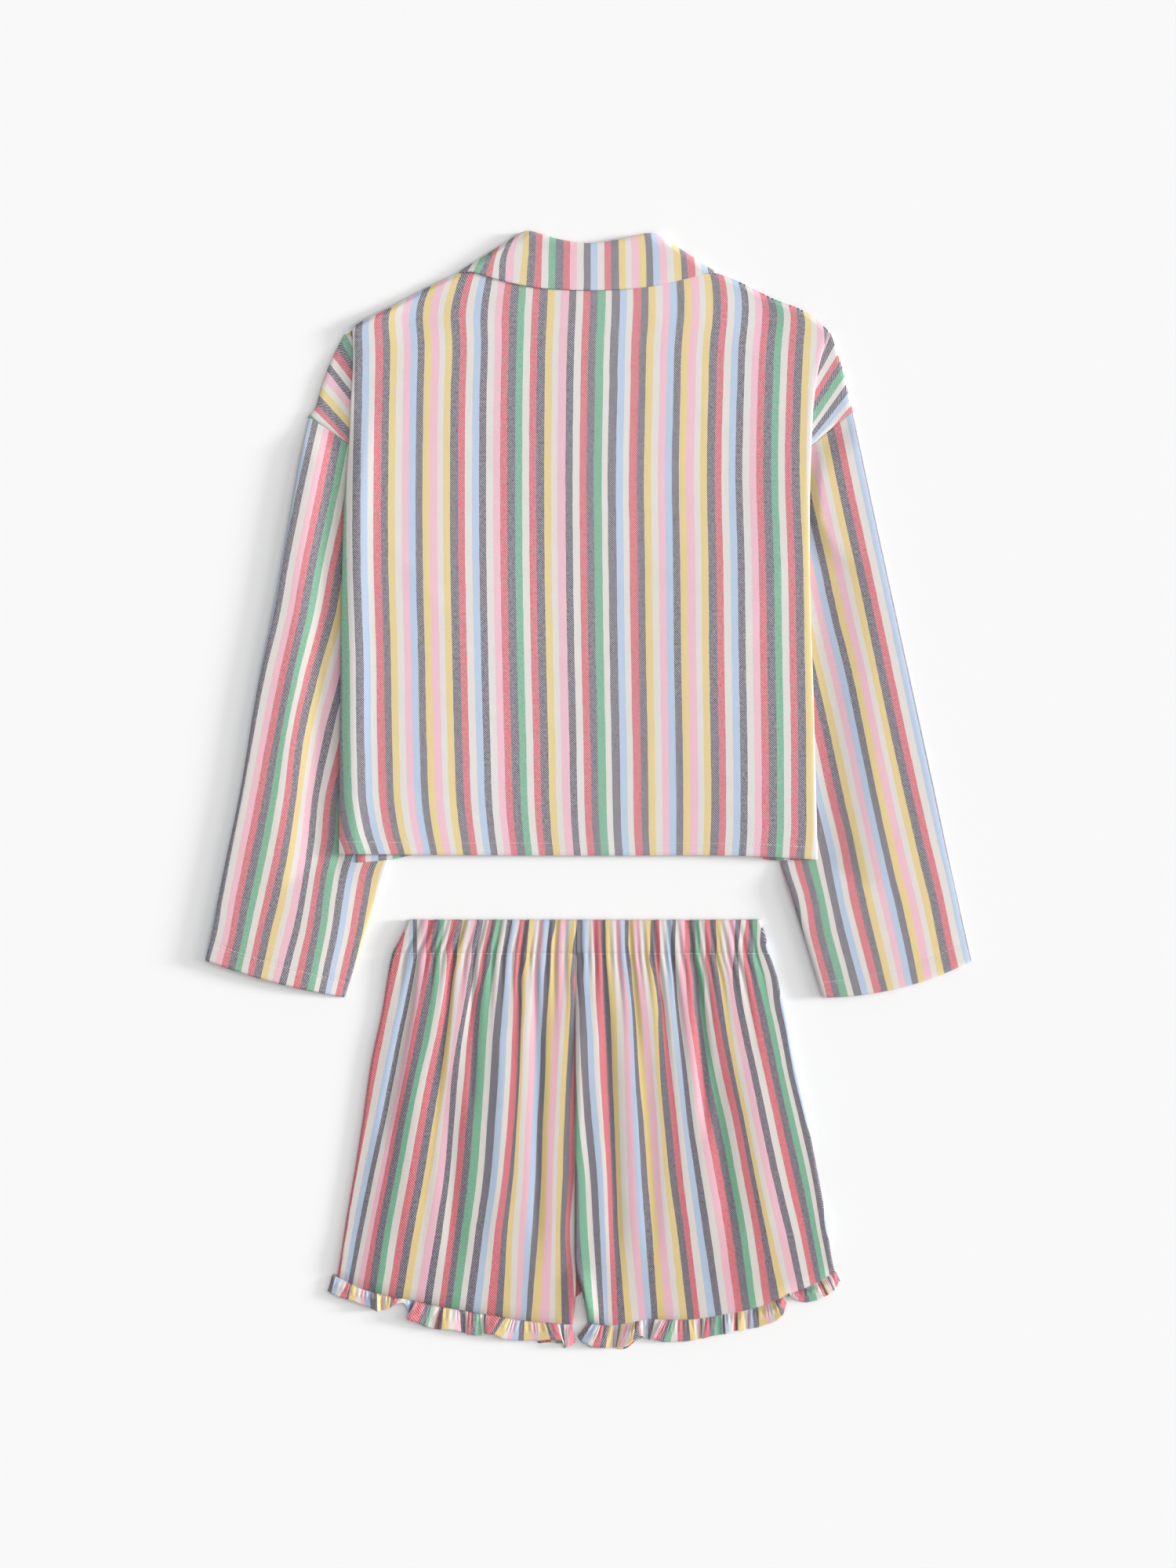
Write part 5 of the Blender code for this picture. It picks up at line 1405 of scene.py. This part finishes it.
class PyjamaCloth(bpy.types.PropertyGroup):
    """Yarns, weave and sewing of the set."""
    twill_pitch: length_property("Twill pitch", "Distance between two diagonal lines", 0.00141, 0.0003)
    nap: length_property("Nap", "Height of the brushed fibres", 0.0002, 0)
    stitch: length_property("Stitch", "From one stitch of a hem to the next", 0.003, 0.001)
    __annotations__.update({name: colour_property(*rest) for name, *rest in COLOURS})


class PyjamaStage(bpy.types.PropertyGroup):
    """Floor and light."""
    floor: colour_property("Floor", "Colour of the floor", (0.90, 0.90, 0.90))
    side: number_property("Side light", "Strength of the low soft light at the right", 3.06)
    height: number_property("Height", "Degrees of the side light above the floor", 12.5, 1, 90)
    softness: number_property("Softness", "Width of the side light in degrees", 10, 0, 120)
    key: number_property("Key light", "Strength of the broad light above the side light", 1.36)
    turn: number_property("Turn", "Degrees from the right towards the collar", 4, -180)
    top: number_property("Top light", "Strength of the light overhead", 1.06)
    fill: number_property("Fill light", "Strength of the even light", 0.32)


# ---- operators ----

HEM_STITCH = 10.5           # from the body's lower edge to its stitches
FLOOR_HALF = 16.0           # from here on, in metres
LAMP_DISTANCE = 2.0         # where each lamp is drawn, which doesn't change its light
CAMERA = (-0.00035, 0.00525, 3.889)


def stitch_step(context):
    """From one stitch of a hem to the next, in mm."""
    return round(context.scene.pyjama_cloth.stitch / MM, 3)


class PYJAMA_OT_shirt(bpy.types.Operator):
    """Make the shirt's back with its shoulder ends, and the two fronts"""
    bl_idname = "pyjama.shirt"
    bl_label = "Shirt body"

    def execute(self, context):
        back = back_patch()
        x = back.mid[-4, 8:-8, 0]
        y = curve(*BACK_HEM)(x) + HEM_STITCH
        hem = sewing("shirt_back_hem_stitch", line(x, y, back_z(x, y) + 0.55), stitch_step(context))
        cloth("shirt_back", [back, end_patch("left"), end_patch("right")], "shirt_back", ["shirt_back"])
        for side in SIDES:
            cloth("shirt_front_" + side, front_patch(side, FRONT_LAP_RISE[side]), "shirt_front",
                  ["shirt_front_" + side])
        return {"FINISHED"}


class PYJAMA_OT_sleeves(bpy.types.Operator):
    """Make both sleeves with their turned-in cuffs"""
    bl_idname = "pyjama.sleeves"
    bl_label = "Sleeves"

    def execute(self, context):
        for side in SIDES:
            patch = sleeve_patch(side)
            ring = patch.mid[CUFF_ROW, ::side_of(side)]
            upper = ring[SLEEVE_COLUMNS + EDGE_TURNS + 2:-INNER_TURNS - 1][::side_of(side)]
            cuff = sewing("cuff_stitch_" + side, on_top(upper, 0.62), stitch_step(context))
            cloth("sleeve_" + side, [patch], "sleeve", ["sleeve_" + side])
        return {"FINISHED"}


class PYJAMA_OT_collar(bpy.types.Operator):
    """Make the turned-down collar"""
    bl_idname = "pyjama.collar"
    bl_label = "Collar"

    def execute(self, context):
        cloth("collar", collar_patches(), "collar", ["collar"])
        return {"FINISHED"}


class PYJAMA_OT_shorts(bpy.types.Operator):
    """Make the gathered shorts"""
    bl_idname = "pyjama.shorts"
    bl_label = "Shorts"

    def execute(self, context):
        for side in SIDES:
            back = shorts_back_patch(side)
            along = on_top(back.mid[CASING_ROW, 10:-6], 0.62)
            seam = sewing("casing_stitch_" + side, along, CASING_STITCH)
            cloth("shorts_back_" + side, [back], "shorts_back", ["shorts_back_" + side])
            cloth("shorts_front_" + side, [shorts_front_patch(side)], "shorts_front",
                  ["shorts_front_" + side])
        return {"FINISHED"}


class PYJAMA_OT_ruffles(bpy.types.Operator):
    """Make the gathered frill of each leg"""
    bl_idname = "pyjama.ruffles"
    bl_label = "Ruffles"

    def execute(self, context):
        for side in SIDES:
            cloth("ruffle_" + side, [ruffle_patch(side)], "ruffle", ["ruffle_" + side])
        return {"FINISHED"}


class PYJAMA_OT_buttons(bpy.types.Operator):
    """Give the buttons their moulded finish"""
    bl_idname = "pyjama.buttons"
    bl_label = "Buttons"

    def execute(self, context):
        finish = moulded_button()
        for name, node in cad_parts.items():
            if name.startswith("button_"):
                node.data.materials.clear()
                node.data.materials.append(finish)
        return {"FINISHED"}


class PYJAMA_OT_stage(bpy.types.Operator):
    """Set up the floor, the lights and the camera"""
    bl_idname = "pyjama.stage"
    bl_label = "Stage"

    def execute(self, context):
        scene = context.scene
        settings = scene.pyjama_stage
        mesh = bpy.data.meshes.new("floor")
        corners = [(x * FLOOR_HALF, y * FLOOR_HALF, 0) for x, y in ((-1, -1), (1, -1), (1, 1), (-1, 1))]
        mesh.from_pydata(corners, [], [(0, 1, 2, 3)])
        floor = bpy.data.objects.new("floor", mesh)
        scene.collection.objects.link(floor)
        paint, _, shader = new_material("pale_floor")
        shader["Base Color"].default_value = (*settings.floor, 1)
        shader["Roughness"].default_value = 0.9
        shader["Specular IOR Level"].default_value = 0.1
        mesh.materials.append(paint)

        world = bpy.data.worlds.new("studio")
        world.use_nodes = True
        sky = world.node_tree.nodes["Background"].inputs
        sky["Color"].default_value = (1, 1, 1, 1)
        sky["Strength"].default_value = settings.fill
        scene.world = world

        turn = math.radians(settings.turn)
        for row in (Lamp("side", settings.side, settings.softness, settings.height),
                    Lamp("key", settings.key, 32, 26), Lamp("top", settings.top, 60, 78)):
            lamp = bpy.data.lights.new(row.name, "SUN")
            lamp.energy, lamp.angle = row.strength, math.radians(row.softness)
            light = bpy.data.objects.new(row.name, lamp)
            low = math.radians(row.height)
            towards = math.cos(low) * math.cos(turn), math.cos(low) * math.sin(turn), math.sin(low)
            light.location = [LAMP_DISTANCE * part for part in towards]
            light.rotation_euler = light.location.to_track_quat("Z", "Y").to_euler()
            scene.collection.objects.link(light)

        lens = bpy.data.cameras.new("camera")
        lens.lens, lens.sensor_width = 100, 36
        camera = bpy.data.objects.new("camera", lens)
        camera.location = CAMERA
        scene.collection.objects.link(camera)
        scene.camera = camera
        scene.view_settings.view_transform = "Standard"
        return {"FINISHED"}


STEPS = (PYJAMA_OT_shirt, PYJAMA_OT_sleeves, PYJAMA_OT_collar, PYJAMA_OT_shorts, PYJAMA_OT_ruffles,
         PYJAMA_OT_buttons, PYJAMA_OT_stage)


class PYJAMA_PT_set(bpy.types.Panel):
    """Sizes and colours of the set, and its pieces"""
    bl_idname = "PYJAMA_PT_set"
    bl_label = "Striped pyjama set"
    bl_space_type = "VIEW_3D"
    bl_region_type = "UI"
    bl_category = "Pyjama set"

    def draw(self, context):
        for settings in (context.scene.pyjama_cloth, context.scene.pyjama_stage):
            for name in type(settings).__annotations__:
                self.layout.prop(settings, name)
        for step in STEPS:
            self.layout.operator(step.bl_idname)


CLASSES = (PyjamaCloth, PyjamaStage, *STEPS, PYJAMA_PT_set)


def register():
    for made in CLASSES:
        bpy.utils.register_class(made)
    bpy.types.Scene.pyjama_cloth = bpy.props.PointerProperty(type=PyjamaCloth)
    bpy.types.Scene.pyjama_stage = bpy.props.PointerProperty(type=PyjamaStage)


def unregister():
    del bpy.types.Scene.pyjama_stage
    del bpy.types.Scene.pyjama_cloth
    for made in reversed(CLASSES):
        bpy.utils.unregister_class(made)


def main():
    register()
    bpy.ops.pyjama.shirt()
    bpy.ops.pyjama.sleeves()
    bpy.ops.pyjama.collar()
    bpy.ops.pyjama.shorts()
    bpy.ops.pyjama.ruffles()
    bpy.ops.pyjama.buttons()
    bpy.ops.pyjama.stage()


if __name__ == "__main__":
    main()
